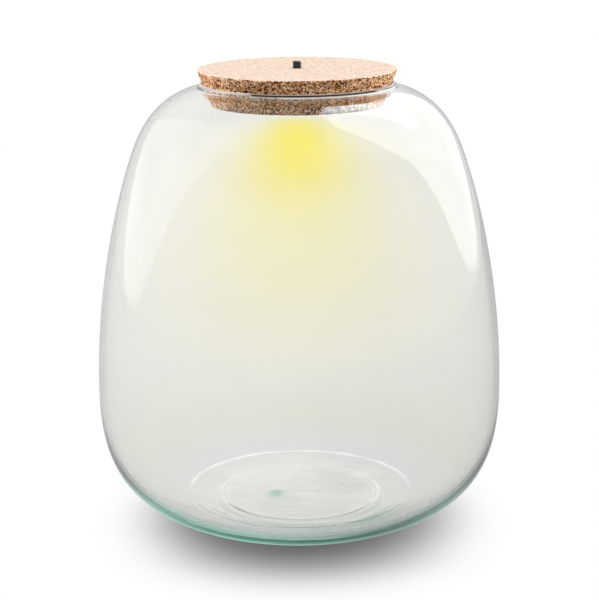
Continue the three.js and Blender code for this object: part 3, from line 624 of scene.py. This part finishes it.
def bottle_profile():
    """Up the outside from the pushed-up base, over the lip, and down the inside."""
    outer, inner = [], []
    for part, (corners, steps) in enumerate(zip(WALL_CURVES, WALL_STEPS)):
        for t, spot, tangent in curve_points(corners, steps, part > 0):
            thinned = 1.0 if part else 1 - (1 - t) ** 2
            wall = BASE_WALL + (SIDE_WALL - BASE_WALL) * thinned
            outer.append((spot.x, spot.y))
            inner.append((spot.x - wall * tangent.y, spot.y + wall * tangent.x))
    # The bore of the mouth takes over from here
    while inner[-1][0] < MOUTH_RADIUS + 1.2:
        inner.pop()
    lip = []
    for step in range(17):
        angle = math.pi * step / 16
        lip.append((MOUTH_RADIUS + LIP_BEAD * (1 + math.cos(angle)),
                    LIP_HEIGHT - LIP_BEAD + LIP_BEAD * math.sin(angle)))
    bore = [(MOUTH_RADIUS + wider, NECK_HEIGHT - lower)
            for wider, lower in ((0.0, 0.3), (0.15, 1.1), (0.6, 1.9))]
    punt = [(PUNT_RADIUS * share, BASE_BOW * (1 - share ** 2) ** 2)
            for share in [0.0] + spread(0.0, 1.0, 60) + [1.0]]
    foot = [(PUNT_RADIUS + 1.5, 0.0), (FOOT_RADIUS - 1.5, 0.0)]
    floor_radius, floor_height = inner[0]
    inside_floor = [(floor_radius * share, floor_height + BASE_BOW * (1 - share ** 2) ** 2)
                    for share in reversed([0.0] + spread(0.0, 1.0, 90))]
    inside = [(radius, height + (rings_inside(radius) if height < RINGS_BELOW else 0.0))
              for radius, height in inner[::-1] + inside_floor]
    return punt + foot + outer + lip + bore + inside


bottle = piece("bottle_glass", *turned(bottle_profile(), BOTTLE_SIDES), blown_glass(), sharp=60)
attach(bottle, "bottle")
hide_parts("glass_bottle")


# Cork stopper

# Sizes of the granules that show and of those that tear out, and the share that stays whole
GRANULE, TORN_GRANULE, WHOLE_SHARE = 1.1, 1.9, 0.86


def pressed_cork():
    """Granules of bark, coarse and torn at the sides. The top is smoother, and painted pale as
    painted light from above.
    """
    cork = Finish("pressed_cork")
    spot = cork.position()
    x, y, z = cork.axes(spot)
    top = cork.step(z, CORK_TOP - 0.5, CORK_TOP - 0.15)
    wobble = cork.read(cork.node("VectorMath", {"operation": "ADD"}, {
        0: spot, 1: cork.grain(1.1, 2.0, 0.6, output="Color")}))
    coarse = cork.axes(cork.granules(GRANULE, output="Color", vector=wobble))[0]
    fine = cork.axes(cork.granules(0.6, output="Color", vector=wobble))[1]
    gaps = cork.granules(GRANULE, "DISTANCE_TO_EDGE", vector=wobble)
    voids = cork.step(cork.granules(GRANULE, vector=wobble), 0.5, 0.72)
    dust = cork.grain(0.35, 2.0)
    tone = coarse * 0.55 + fine * 0.3 + dust * 0.15
    bark = cork.shades(tone, [
        (0.2, linear(66, 28, 10)), (0.34, linear(168, 102, 62)), (0.48, linear(230, 163, 114)),
        (0.62, linear(255, 202, 154)), (0.78, linear(255, 230, 196))])
    bark = cork.blend(cork.step(gaps, 0.0, 0.1, 0.55, 0.0), bark, linear(96, 48, 24))
    bark = cork.blend(voids * cork.step(cork.grain(1.5, 1.0), 0.35, 0.55) * 0.92, bark,
                      linear(46, 18, 8))
    # The top's colours are paler: painted light from above
    top_painted_light = cork.shades(tone, [
        (0.2, linear(204, 170, 144)), (0.4, linear(225, 203, 183)), (0.6, linear(233, 214, 198)),
        (0.8, linear(239, 223, 209))])
    top_painted_light = cork.blend(cork.step(gaps, 0.0, 0.06, 0.2, 0.0), top_painted_light, linear(190, 148, 116))
    # The side is painted lighter at the far left and a little darker left of the middle: painted
    # light and shade
    painted_side_light = cork.blend(cork.step(x, -50.0, -34.0), (1.2, 1.2, 1.2), (0.92, 0.92, 0.92))
    painted_side_light = cork.blend(cork.step(x, -28.0, -8.0), painted_side_light, WHITE)
    height = tone * 0.5 + cork.grain(0.5, 3.0, 0.6) * 0.3 - voids * 0.4
    return cork.show(cork.solid(
        Base_Color=cork.blend(top, cork.tinted(bark, painted_side_light), top_painted_light),
        Roughness=cork.step(dust, 0.2, 0.8, 0.75, 0.95),
        Normal=cork.blend(top, cork.bumped(height, 0.7), cork.bumped(height, 0.12)),
        Specular_IOR_Level=0.08))


def cork_rows():
    """The cork's profile, from the recess over the bottom, side, top and button hole and back
    into the recess, with how deep the granules go at each row."""
    bottom_edge, top_edge = CORK_BOTTOM_RADIUS - CORK_EDGE, CORK_TOP_RADIUS - CORK_EDGE
    low, high = CORK_BOTTOM + CORK_EDGE, CORK_TOP - CORK_EDGE
    hole_edge = BUTTON_HOLE_RADIUS + 0.4

    def side(height):
        share = (height - CORK_BOTTOM) / (CORK_TOP - CORK_BOTTOM)
        return CORK_BOTTOM_RADIUS + (CORK_TOP_RADIUS - CORK_BOTTOM_RADIUS) * share

    rows = [(radius, CORK_BOTTOM, 0.12) for radius in [RECESS_RADIUS] + spread(
        RECESS_RADIUS + KEY_DEPTH + 0.2, bottom_edge, 8)]
    rows += [(bottom_edge, CORK_BOTTOM, 0.3),
             (CORK_BOTTOM_RADIUS - CORK_EDGE * 0.35, CORK_BOTTOM + CORK_EDGE * 0.3, 0.5)]
    rows += [(side(height), height, 0.6) for height in [low] + spread(low, high, 26) + [high]]
    rows += [(CORK_TOP_RADIUS - CORK_EDGE * 0.4, CORK_TOP - CORK_EDGE * 0.3, 0.9),
             (top_edge, CORK_TOP, 0.8)]
    rows += [(radius, CORK_TOP, 0.03) for radius in spread(top_edge, hole_edge, 34) + [hole_edge]]
    rows += [(BUTTON_HOLE_RADIUS, CORK_TOP - 0.4, 0.0)]
    rows += [(radius, RECESS_TOP, 0.0) for radius in [BUTTON_HOLE_RADIUS] + spread(
        BUTTON_HOLE_RADIUS, RECESS_RADIUS, 8)]
    rows += [(RECESS_RADIUS, height, 0.0) for height in [RECESS_TOP, KEY_TOP] + spread(
        KEY_TOP, CORK_BOTTOM, 8)]
    return rows


def granule_bite(x, y, z):
    """How much of the cork is missing at a point, from 0 to 1: some granules have torn out."""
    spots = noise.voronoi(Vector((x, y, z)) / TORN_GRANULE)[1]
    chance = noise.cell(spots[0] * 7.3)
    torn = 0.75 if chance > WHOLE_SHARE else 0.25 * chance
    rough = 0.5 + 0.5 * noise.noise(Vector((x, y, z)) / 0.9)
    return min(1.0, max(0.0, 0.45 * rough + torn))


def stopper_cork():
    """The turned cork, with the slots for the keys in its recess and the bites at its edge."""
    rows = cork_rows()

    def shift(index, angle, x, y, z):
        radius, height, depth = rows[index]
        if radius == RECESS_RADIUS:
            for direction in KEY_DIRECTIONS:
                off = math.remainder(angle - math.radians(direction), math.tau)
                if abs(off) * radius < KEY_WIDTH / 2 + KEY_ROOM and height <= KEY_TOP:
                    wide = (radius + KEY_DEPTH) / radius / math.cos(off)
                    return x * wide, y * wide, z
            return x, y, z
        if depth == 0.0:
            return x, y, z
        bite = depth * granule_bite(x, y, z)
        worn = 1 - bite / radius
        if height == CORK_BOTTOM:
            return x, y, z + bite
        if height == CORK_TOP:
            return (x, y, z - bite) if depth < 0.1 else (x * worn, y * worn, z - 0.4 * bite)
        return x * worn, y * worn, z

    return turned([row[:2] for row in rows], CORK_SIDES, shift)


cork = piece("stopper_cork", *stopper_cork(), pressed_cork(), sharp=180)
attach(cork, "stopper")
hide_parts("cork_stopper")


# Push button

def moulded_plastic(name, colour, gloss):
    """Plastic with the fine grain of its mould and faint handling marks."""
    plastic = Finish(name)
    grit = plastic.grain(0.22, 2.0)
    wear = plastic.step(plastic.grain(2.4, 6.0, 0.65), 0.5, 0.72)
    shade = plastic.blend(plastic.grain(9.0, 4.0), tuple(c * 0.88 for c in colour), colour)
    return plastic.show(plastic.solid(
        Base_Color=shade, Roughness=gloss + grit * 0.12 + wear * 0.07,
        Normal=plastic.bumped(grit, 0.03)))


def button_profile():
    """Down the socket for the switch's stem and up the outside."""
    return eased([
        (0.0, SOCKET_TOP), (SOCKET_RADIUS, SOCKET_TOP), (SOCKET_RADIUS, BUTTON_BOTTOM),
        (BUTTON_RADIUS, BUTTON_BOTTOM), (BUTTON_RADIUS, BUTTON_TOP - 0.35),
        (BUTTON_RADIUS - 0.35, BUTTON_TOP), (0.0, BUTTON_TOP)], 0.18, closed=False)


button = piece("push_button_cap", *turned(button_profile(), 64),
               moulded_plastic("button_plastic", linear(18, 18, 19), 0.24), sharp=50)
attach(button, "button")
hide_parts("push_button")


# Lens and its light

def frosted_lens():
    """Frosted plastic, lit from behind by the yellow lamp."""
    lens = Finish("frosted_lens")
    x, y = lens.axes(lens.position())[:2]
    across = (x * x + y * y).root()
    lit = lens.step(across, 1.0, 7.5, 1.0, 0.35)
    frost = lens.grain(0.3, 2.0)
    light = lens.blend(lit, linear(240, 214, 110), linear(255, 240, 140))
    return lens.show(lens.solid(
        Base_Color=lens.blend(frost, linear(240, 232, 196), linear(250, 244, 214)),
        Roughness=0.4 + frost * 0.2, Normal=lens.bumped(frost, 0.03),
        Emission_Color=light, Emission_Strength=1.6))


def lens_profile():
    """Down the outside of the dome, round the flange and up the inside."""
    base = COVER_TOP + 0.3
    inner = LENS_RADIUS - LENS_WALL

    def dome(radius, depth):
        angles = [math.pi / 2 * i / 20 for i in range(21)]
        return [(radius * math.sin(angle), base - depth * math.cos(angle)) for angle in angles]

    return dome(LENS_RADIUS, LENS_DEPTH) + [
        (LENS_FLANGE_RADIUS, base), (LENS_FLANGE_RADIUS, base + LENS_FLANGE),
        (inner, base + LENS_FLANGE)] + dome(inner, LENS_DEPTH - LENS_WALL)[::-1]


lens = piece("lamp_lens_dome", *turned(lens_profile(), 72), frosted_lens())
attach(lens, "cover")
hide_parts("lamp_lens")


# The height where the light starts, its reach up and its colour. Then for its heart and its
# halo: density per metre, the height where it is densest, its reach down, its reach sideways
# at the top, and how much wider it gets with each millimetre further down
LIGHT_TOP, REACH_UP, LAMP_YELLOW = 254.6, 3.5, (1.0, 0.87, 0.0)
HEART = (39.0, 246.0, 21.6, 9.9, 0.27)
HALO = (6.0, 240.0, 66.0, 21.6, 0.28)


def lit_air(name, thick, middle, down, sideways, opening):
    """The lamp's yellow light in the air: densest under the lens, fading down and outwards."""
    glow = Finish(name)
    x, y, z = glow.axes(glow.position())
    across = x * x + y * y
    reach = sideways + (LIGHT_TOP - z) * opening
    off = z - middle
    fall = glow.step(off, -0.5, 0.5, down, REACH_UP, soft=False)
    density = thick * (across / (reach * reach) * -0.5 + (off / fall) ** 2 * -0.5).exp()
    veil = glow.read(glow.node("VolumeAbsorption", None, {
        "Color": (0.0, 0.0, 0.0), "Density": density}))
    return glow.show(glow.clear(WHITE), glow.both(veil, glow.shining(LAMP_YELLOW, density)))


# The heart goes up through the mouth with the stopper. The halo is the light that fills the
# bottle, and stays in it
heart_profile = [(0.0, 170.0), (40.0, 174.0), (53.0, 190.0), (54.0, 215.0), (50.0, 238.0),
                 (38.0, 250.0), (30.0, LIGHT_TOP), (0.0, LIGHT_TOP)]
halo_profile = [(0.0, 90.0), (60.0, 96.0), (100.0, 120.0), (104.0, 150.0), (100.0, 185.0),
                (92.0, 215.0), (84.0, 235.0), (72.0, 248.0), (50.0, LIGHT_TOP),
                (0.0, LIGHT_TOP)]
heart = piece("lamp_glow", *turned(heart_profile, 64), lit_air("lamp_glow", *HEART))
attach(heart, "stopper")
halo = piece("bottle_glow", *turned(halo_profile, 64), lit_air("bottle_glow", *HALO))
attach(halo, "bottle")


# Battery cover

def cover_bodies():
    """The disc with its rim and the lens's seat, three lugs, and two rests for the cells."""
    hole, seat = LENS_RADIUS + LENS_GAP, LENS_FLANGE_RADIUS + LENS_GAP
    inner, collar = COVER_RADIUS - COVER_WALL, seat + 1.2
    disc = eased([
        (hole, COVER_FACE), (COVER_RADIUS - 0.4, COVER_FACE), (COVER_RADIUS, COVER_FACE + 0.4),
        (COVER_RADIUS, LUG_TOP), (inner, LUG_TOP), (inner, COVER_TOP), (collar, COVER_TOP),
        (collar, COVER_TOP + 1.2), (seat, COVER_TOP + 1.2), (seat, COVER_TOP),
        (hole, COVER_TOP)], 0.2)
    lugs = [sector(COVER_RADIUS - 0.8, LUG_RADIUS, LUG_BOTTOM, LUG_TOP,
                   direction - LUG_HALF_TURN, direction + LUG_HALF_TURN)
            for direction in LUG_DIRECTIONS]
    length, width = REST_LENGTH / 2, REST_WIDTH / 2
    rests = [slab((-length, length), (middle - width, middle + width),
                  (COVER_TOP - 0.9, COVER_TOP + 0.8)) for middle in (CELL_OFFSET, -CELL_OFFSET)]
    return [turned(disc, 128)] + lugs + rests


cover = piece("battery_cover_disc", *joined(cover_bodies()),
              moulded_plastic("cover_plastic", linear(232, 229, 221), 0.42))
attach(cover, "cover")
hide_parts("battery_cover")


# Finishes of the parts inside the cork, which keep the shapes of the frame

def plain(node, finish):
    """Gives a node of the frame a better finish."""
    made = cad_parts[node]
    made.data.materials.clear()
    made.data.materials.append(finish)


def bare_metal(name, colour, gloss):
    """Drawn metal with lines along it, a little tarnished."""
    metal = Finish(name)
    lines = metal.grain(0.5, 4.0, 0.6, metal.stretched(metal.position(), (1.0, 1.0, 0.12)))
    tarnish = metal.step(metal.grain(3.0, 5.0, 0.6), 0.45, 0.75)
    shade = metal.blend(tarnish, colour, tuple(c * 0.72 for c in colour))
    return metal.show(metal.solid(
        Base_Color=shade, Metallic=1.0, Roughness=gloss + lines * 0.18 + tarnish * 0.1,
        Normal=metal.bumped(lines, 0.02)))


def cell_wrap(name, way):
    """A dry cell: a dark sleeve with a copper band at its live end, and steel ends. Way is 1
    where the live end points to the right, and -1 where it points to the left."""
    cell = Finish(name)
    along = cell.axes(cell.position())[0] * way
    scuffs = cell.step(cell.grain(1.6, 6.0, 0.65), 0.52, 0.74)
    sleeve = cell.blend(cell.step(cell.grain(8.0, 3.0), 0.3, 0.7), linear(40, 46, 56),
                        linear(54, 61, 72))
    band = cell.step(along, CELL_HALF - 15.0, CELL_HALF - 14.8)
    colour = cell.blend(band, sleeve, linear(196, 128, 62))
    colour = cell.blend(scuffs * 0.4, colour, linear(150, 148, 142))
    wrapped = cell.solid(Base_Color=colour, Roughness=0.28 + scuffs * 0.25,
                         Normal=cell.bumped(scuffs, 0.02))
    steel_grey = cell.blend(scuffs, linear(198, 198, 196), linear(158, 156, 152))
    bare = cell.solid(Base_Color=steel_grey, Metallic=1.0, Roughness=0.26 + scuffs * 0.2)
    ends = cell.step((along - 0.75).size(), CELL_HALF - 1.4, CELL_HALF - 1.35)
    return cell.show(cell.either(ends, wrapped, bare))


def board_resin():
    """Green solder mask over pale fibre, with copper tracks under it and dull cut edges."""
    board = Finish("board_resin")
    spot = board.position()
    x, y = board.axes(spot)[:2]
    weave = (x * 9.0).sine() * (y * 9.0).sine()
    across_tracks = board.step((x * 1.1).sine(), 0.72, 0.82) * board.step(
        board.grain(7.0, 0.0), 0.5, 0.52)
    mirrored = board.stretched(spot, (1.0, -1.0, 1.0))
    along_tracks = board.step((y * 1.3).sine(), 0.72, 0.82) * board.step(
        board.grain(6.0, 0.0, vector=mirrored), 0.5, 0.52)
    tracks = across_tracks.most(along_tracks)
    mask = board.blend(tracks, linear(24, 84, 52), linear(46, 122, 72))
    mask = board.blend(board.step(weave, -1.0, 1.0) * 0.12, mask, linear(120, 150, 110))
    edges = [board.step(way.size(), half - 0.15, half - 0.05)
             for way, half in zip((x, y), BOARD_HALF)]
    cut = strongest(edges)
    return board.show(board.solid(
        Base_Color=board.blend(cut, mask, linear(176, 170, 118)),
        Roughness=0.32 + cut * 0.4, Normal=board.bumped(tracks + weave * 0.1, 0.03)))


def resistor_paint():
    """A beige body with plain value bands, and tinned leads."""
    body = Finish("resistor_paint")
    x = body.axes(body.position())[0]
    gloss = body.grain(0.4, 3.0)
    colour = body.blend(gloss, linear(214, 190, 146), linear(226, 204, 164))
    for middle, shade in ((-1.2, linear(116, 66, 34)), (-0.5, linear(24, 22, 22)),
                          (0.2, linear(150, 40, 32)), (1.15, linear(178, 142, 60))):
        colour = body.blend(body.step((x - middle).size(), 0.16, 0.2, 1.0, 0.0), colour, shade)
    painted = body.solid(Base_Color=colour, Roughness=0.34 + gloss * 0.15)
    tin = body.blend(gloss, linear(190, 190, 192), linear(168, 168, 172))
    tinned = body.solid(Base_Color=tin, Metallic=1.0, Roughness=0.3 + gloss * 0.15)
    leads = body.step(x.size(), RESISTOR_HALF, RESISTOR_HALF + 0.05)
    return body.show(body.either(leads, painted, tinned))


def pressed_foam():
    """White foam with open pores and a faint skin."""
    foam = Finish("adhesive_foam")
    pores = foam.step(foam.granules(0.45), 0.1, 0.5)
    shade = foam.grain(6.0, 4.0)
    colour = foam.blend(shade, linear(226, 224, 216), linear(240, 238, 232))
    colour = foam.blend(pores * 0.35, linear(196, 193, 184), colour)
    return foam.show(foam.solid(
        Base_Color=colour, Roughness=0.85 + shade * 0.1, Normal=foam.bumped(pores, 0.12)))


def clear_resin():
    """The lamp's yellow resin, glowing from the chip in its middle."""
    resin = Finish("yellow_resin")
    x, y = resin.axes(resin.position())[:2]
    core = resin.step(x * x + y * y, 0.2, 6.0, 1.0, 0.15)
    cloud = resin.grain(0.7, 3.0)
    return resin.show(resin.solid(
        Base_Color=resin.blend(cloud, linear(246, 222, 112), linear(252, 234, 150)),
        Roughness=0.1 + cloud * 0.1,
        Emission_Color=resin.blend(core, linear(160, 120, 30), linear(255, 236, 130)),
        Emission_Strength=1.8))


white = moulded_plastic("housing_plastic", linear(233, 230, 222), 0.45)
steel = bare_metal("bright_steel", linear(196, 198, 202), 0.28)
nickel = bare_metal("plated_nickel", linear(214, 209, 196), 0.22)
plain("adhesive_ring", pressed_foam())
plain("light_housing", white)
plain("switch_stem", moulded_plastic("switch_plastic", linear(214, 210, 198), 0.45))
plain("switch_plate", steel)
plain("switch_case", moulded_plastic("case_plastic", linear(36, 36, 38), 0.4))
plain("circuit_board", board_resin())
for number in (1, 2):
    plain(f"board_screw_{number}", steel)
    plain(f"lamp_lead_{number}", nickel)
plain("battery_cell_1", cell_wrap("cell_sleeve_1", 1.0))
plain("battery_cell_2", cell_wrap("cell_sleeve_2", -1.0))
plain("lamp", clear_resin())
plain("resistor", resistor_paint())
for contact in ("positive_contact", "negative_contact", "bridge_contact"):
    plain(contact, nickel)
plain("red_wire", moulded_plastic("red_sleeve", linear(176, 36, 30), 0.4))
plain("black_wire", moulded_plastic("black_sleeve", linear(28, 28, 30), 0.4))

# The return spring under the stem, made as one fixed coil; the real one closes up when the button
# goes down
SPRING_WIRE, SPRING_RADIUS, SPRING_TURNS = 0.1, 2.2, 4.0
SPRING_LOW, SPRING_HIGH, BUTTON_TRAVEL = 265.21, 269.49, 1.8

spring = piece("return_spring_coil", *tube(coil(
    SPRING_RADIUS, SPRING_LOW + SPRING_WIRE, SPRING_HIGH - SPRING_WIRE, SPRING_TURNS, 32),
    SPRING_WIRE, 10), steel)
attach(spring, "stopper")
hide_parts("return_spring")
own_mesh(spring)


# Table and light

TABLE_RADIUS, TABLE_GAP = 1400.0, 0.2
# The painted shadow: its middle along y, its reach, how sharply it ends and how dark it gets
SHADOW_MIDDLE, SHADOW_REACH, SHADOW_POWER, SHADOW_DEPTH = -15.5, 99.5, 5.0, 0.89
# What the camera sees of the table and the room, and their tint through the glass
BACKDROP, GLASS_VIEW = (1.0, 1.0, 0.99), (1.0, 0.995, 0.98)


def table_top():
    """White, with the bottle's soft shadow painted on it. Glass shows it pale, with painted shade
    that makes it darker to the right and further back.
    """
    table = Finish("table_top")
    x, y = table.axes(table.position())[:2]
    off = y - SHADOW_MIDDLE
    beside = x * table.step(y, -112.0, -62.0, 0.985, 1.065) * table.step(
        x, -20.0, 20.0, 1.0, 0.985)
    across = (beside * beside + off * off).root() / SHADOW_REACH
    grey = table.grey(1.0 - (-(across ** SHADOW_POWER)).exp() * SHADOW_DEPTH)
    seen = table.both(table.matt(table.tinted(grey, (0.12, 0.12, 0.12))),
                      table.shining(table.tinted(grey, BACKDROP)))
    # What shows through the glass is painted darker to the right and further back: painted shade
    through = table.blend(table.step(x, -200.0, 800.0), GLASS_VIEW, (0.88, 0.88, 0.865))
    through = table.scaled(through, table.step(y, 320.0, 560.0, 1.0, 0.96) * table.step(
        x, -20.0, 90.0, 1.0, 0.965))
    mirrored = table.blend(table.step(x, -150.0, 150.0), (0.7, 0.7, 0.7), (0.57, 0.57, 0.57))
    in_glass = table.shining(table.blend(table.off_first_wall(), through, mirrored))
    glassy = table.ray("Is Glossy Ray").most(table.ray("Is Transmission Ray"))
    other = table.either(glassy, table.matt((0.72, 0.72, 0.715)), in_glass)
    return table.show(table.either(table.ray("Is Camera Ray"), other, seen))


# The profile closes on itself, so a second layer lies in the disc's plane and keeps part of
# the lamps' light off it. The table's greys and its shadow are chosen with that
floor = piece("table", *turned([(TABLE_RADIUS, 0.0), (200.0, 0.0), (0.0, 0.0)], 96),
              table_top())
floor.location.z = -TABLE_GAP * MM

# Corners of the two soft lights that show in the glass, as compass direction from the front
# (to the right is positive) and height above the horizon, in degrees
LEFT_LIGHT = [(-149, 13.5), (-143, 5.6), (-139, 1.2), (-134, -1.8), (-128, -4.2),
              (-121.5, -6.1), (-115, -6.8), (-108.7, -6.1), (-103.3, -4.6), (-92.3, 3.8),
              (-81.3, 13.4), (-69.4, 25), (-65, 37), (-66.5, 52.3), (-71, 64)]
RIGHT_LIGHT = [(162.7, 68.8), (88.8, 75.5), (71.6, 65.5), (71.4, 54), (75.3, 38.8), (82.8, 26),
               (92.2, 16), (105.2, 4.6), (111, -0.4), (118.3, -4), (126, -5.7), (133, -6.1),
               (139.5, -5.2), (146, -3), (152, 0.4), (158, 6), (171, 16.5), (172.5, 45.4)]


def direction(azimuth, height):
    """The direction from the bottle to a point of the room."""
    a, h = math.radians(azimuth), math.radians(height)
    return Vector((math.sin(a) * math.cos(h), -math.cos(a) * math.cos(h), math.sin(h)))


def studio():
    """A plain room: white to the camera, soft for matt surfaces, and with two large soft
    lights that show in glass."""
    world = bpy.data.worlds.new("studio")
    bpy.context.scene.world = world
    world.use_nodes = True
    room = Finish(tree=world.node_tree)
    looking = room.read(room.node("TexCoord"), "Generated")
    sideways, away, height = room.axes(looking)

    def soft_light(corners, soft):
        """1 inside a window of the room with those corners, with a soft edge."""
        spots = [direction(*corner) for corner in corners]
        middle = sum(spots, Vector()).normalized()
        inside = None
        for first, second in zip(spots, spots[1:] + spots[:1]):
            edge = first.cross(second).normalized()
            edge = edge if edge.dot(middle) > 0 else -edge
            side = room.read(room.node("VectorMath", {"operation": "DOT_PRODUCT"}, {
                0: looking, 1: tuple(edge)}), "Value")
            inside = side if inside is None else inside.least(side)
        return room.step(inside, -soft * 0.2, soft)

    # What the first wall of the glass reflects: the two lights, and walls that differ softly
    near = room.step(away, 0.1, 0.5, 1.0, 0.0) * room.step(height, 0.35, 0.6, 1.0, 0.0)
    left = soft_light(LEFT_LIGHT, 0.03) * (
        near.most(room.step(height, -0.02, 0.22, 1.0, 0.0)) * 0.55 + 0.5)
    over_cork = room.step(sideways - away * 0.62, -0.1, 0.05, 2.2, 0.0) * room.step(
        height, 0.62, 0.72)
    right = soft_light(RIGHT_LIGHT, 0.025) * (
        room.step(away, 0.05, 0.7, 2.5, 1.2)
        + room.step(away, 0.3, 0.46) * room.step(height, 0.5, 0.62) * (over_cork + 2.0))
    behind = room.step(away, -0.1, 0.6)
    beside = room.step(away, -0.3, 0.1, 0.5, 0.0) - room.step(
        sideways, -0.3, 0.0, 0.2, 0.0) * behind
    walls = 0.55 + room.step(height, 0.1, 0.6) * behind * 0.28
    walls = walls + room.step(height, 0.5, 0.75) * beside
    walls = walls * (1.0 - room.step(away, 0.05, 0.3) * room.step(height, 0.66, 0.8) * 0.65)
    cool = room.blend(over_cork * 0.45, WHITE, (0.88, 1.03, 1.14))
    mirrored = room.tinted(room.grey(walls + left + right), cool)
    through = room.scaled(GLASS_VIEW, room.step(height, 0.2, 0.9, 0.96, 0.6) * room.step(
        sideways, 0.0, 0.08, 1.0, 0.955))
    colour = room.blend(room.off_first_wall(), through, mirrored)
    colour = room.blend(room.ray("Is Diffuse Ray"), colour, (0.62, 0.62, 0.62))
    colour = room.blend(room.ray("Is Camera Ray"), colour, BACKDROP)
    room.show(room.read(room.node("Background", None, {"Color": colour, "Strength": 1.0})))


studio()


def soft_lamp(name, place, target, size, power):
    """A round soft lamp of that size in metres and power in watts, which glass doesn't show."""
    lamp = bpy.data.lights.new(name, "AREA")
    lamp.shape = "DISK"
    lamp.size = size
    lamp.energy = power
    made = bpy.data.objects.new(name, lamp)
    bpy.context.scene.collection.objects.link(made)
    made.location = place
    made.rotation_euler = (Vector(target) - Vector(place)).to_track_quat("-Z", "Y").to_euler()
    made.visible_glossy = False
    made.visible_transmission = False


soft_lamp("overhead", (0.0, -0.2, 1.7), (0.0, 0.0, 0.1), 1.8, 9.0)
soft_lamp("front_fill", (-0.2, -1.6, 0.7), (0.0, 0.0, 0.2), 0.9, 13.0)
soft_lamp("left_side", (-1.1, 0.35, 0.27), (0.0, 0.0, 0.27), 0.5, 15.0)
soft_lamp("right_side", (1.1, 0.3, 0.27), (0.0, 0.0, 0.27), 0.5, 17.0)


# Camera

CAMERA_PLACE = (0.0005, -0.9683, 0.3955)
CAMERA_DOWN, CAMERA_ROLL, CAMERA_LENS = 15.04, -0.406, 96.86

eye = bpy.data.cameras.new("camera")
eye.lens = CAMERA_LENS
eye.sensor_width = 36.0
eye.clip_start = 0.02
eye.clip_end = 40.0
camera = bpy.data.objects.new("camera", eye)
bpy.context.scene.collection.objects.link(camera)
camera.matrix_world = Matrix.Translation(CAMERA_PLACE) @ Matrix.Rotation(
    math.radians(90 - CAMERA_DOWN), 4, "X") @ Matrix.Rotation(math.radians(CAMERA_ROLL), 4, "Z")
bpy.context.scene.camera = camera
bpy.context.scene.view_settings.view_transform = "Standard"
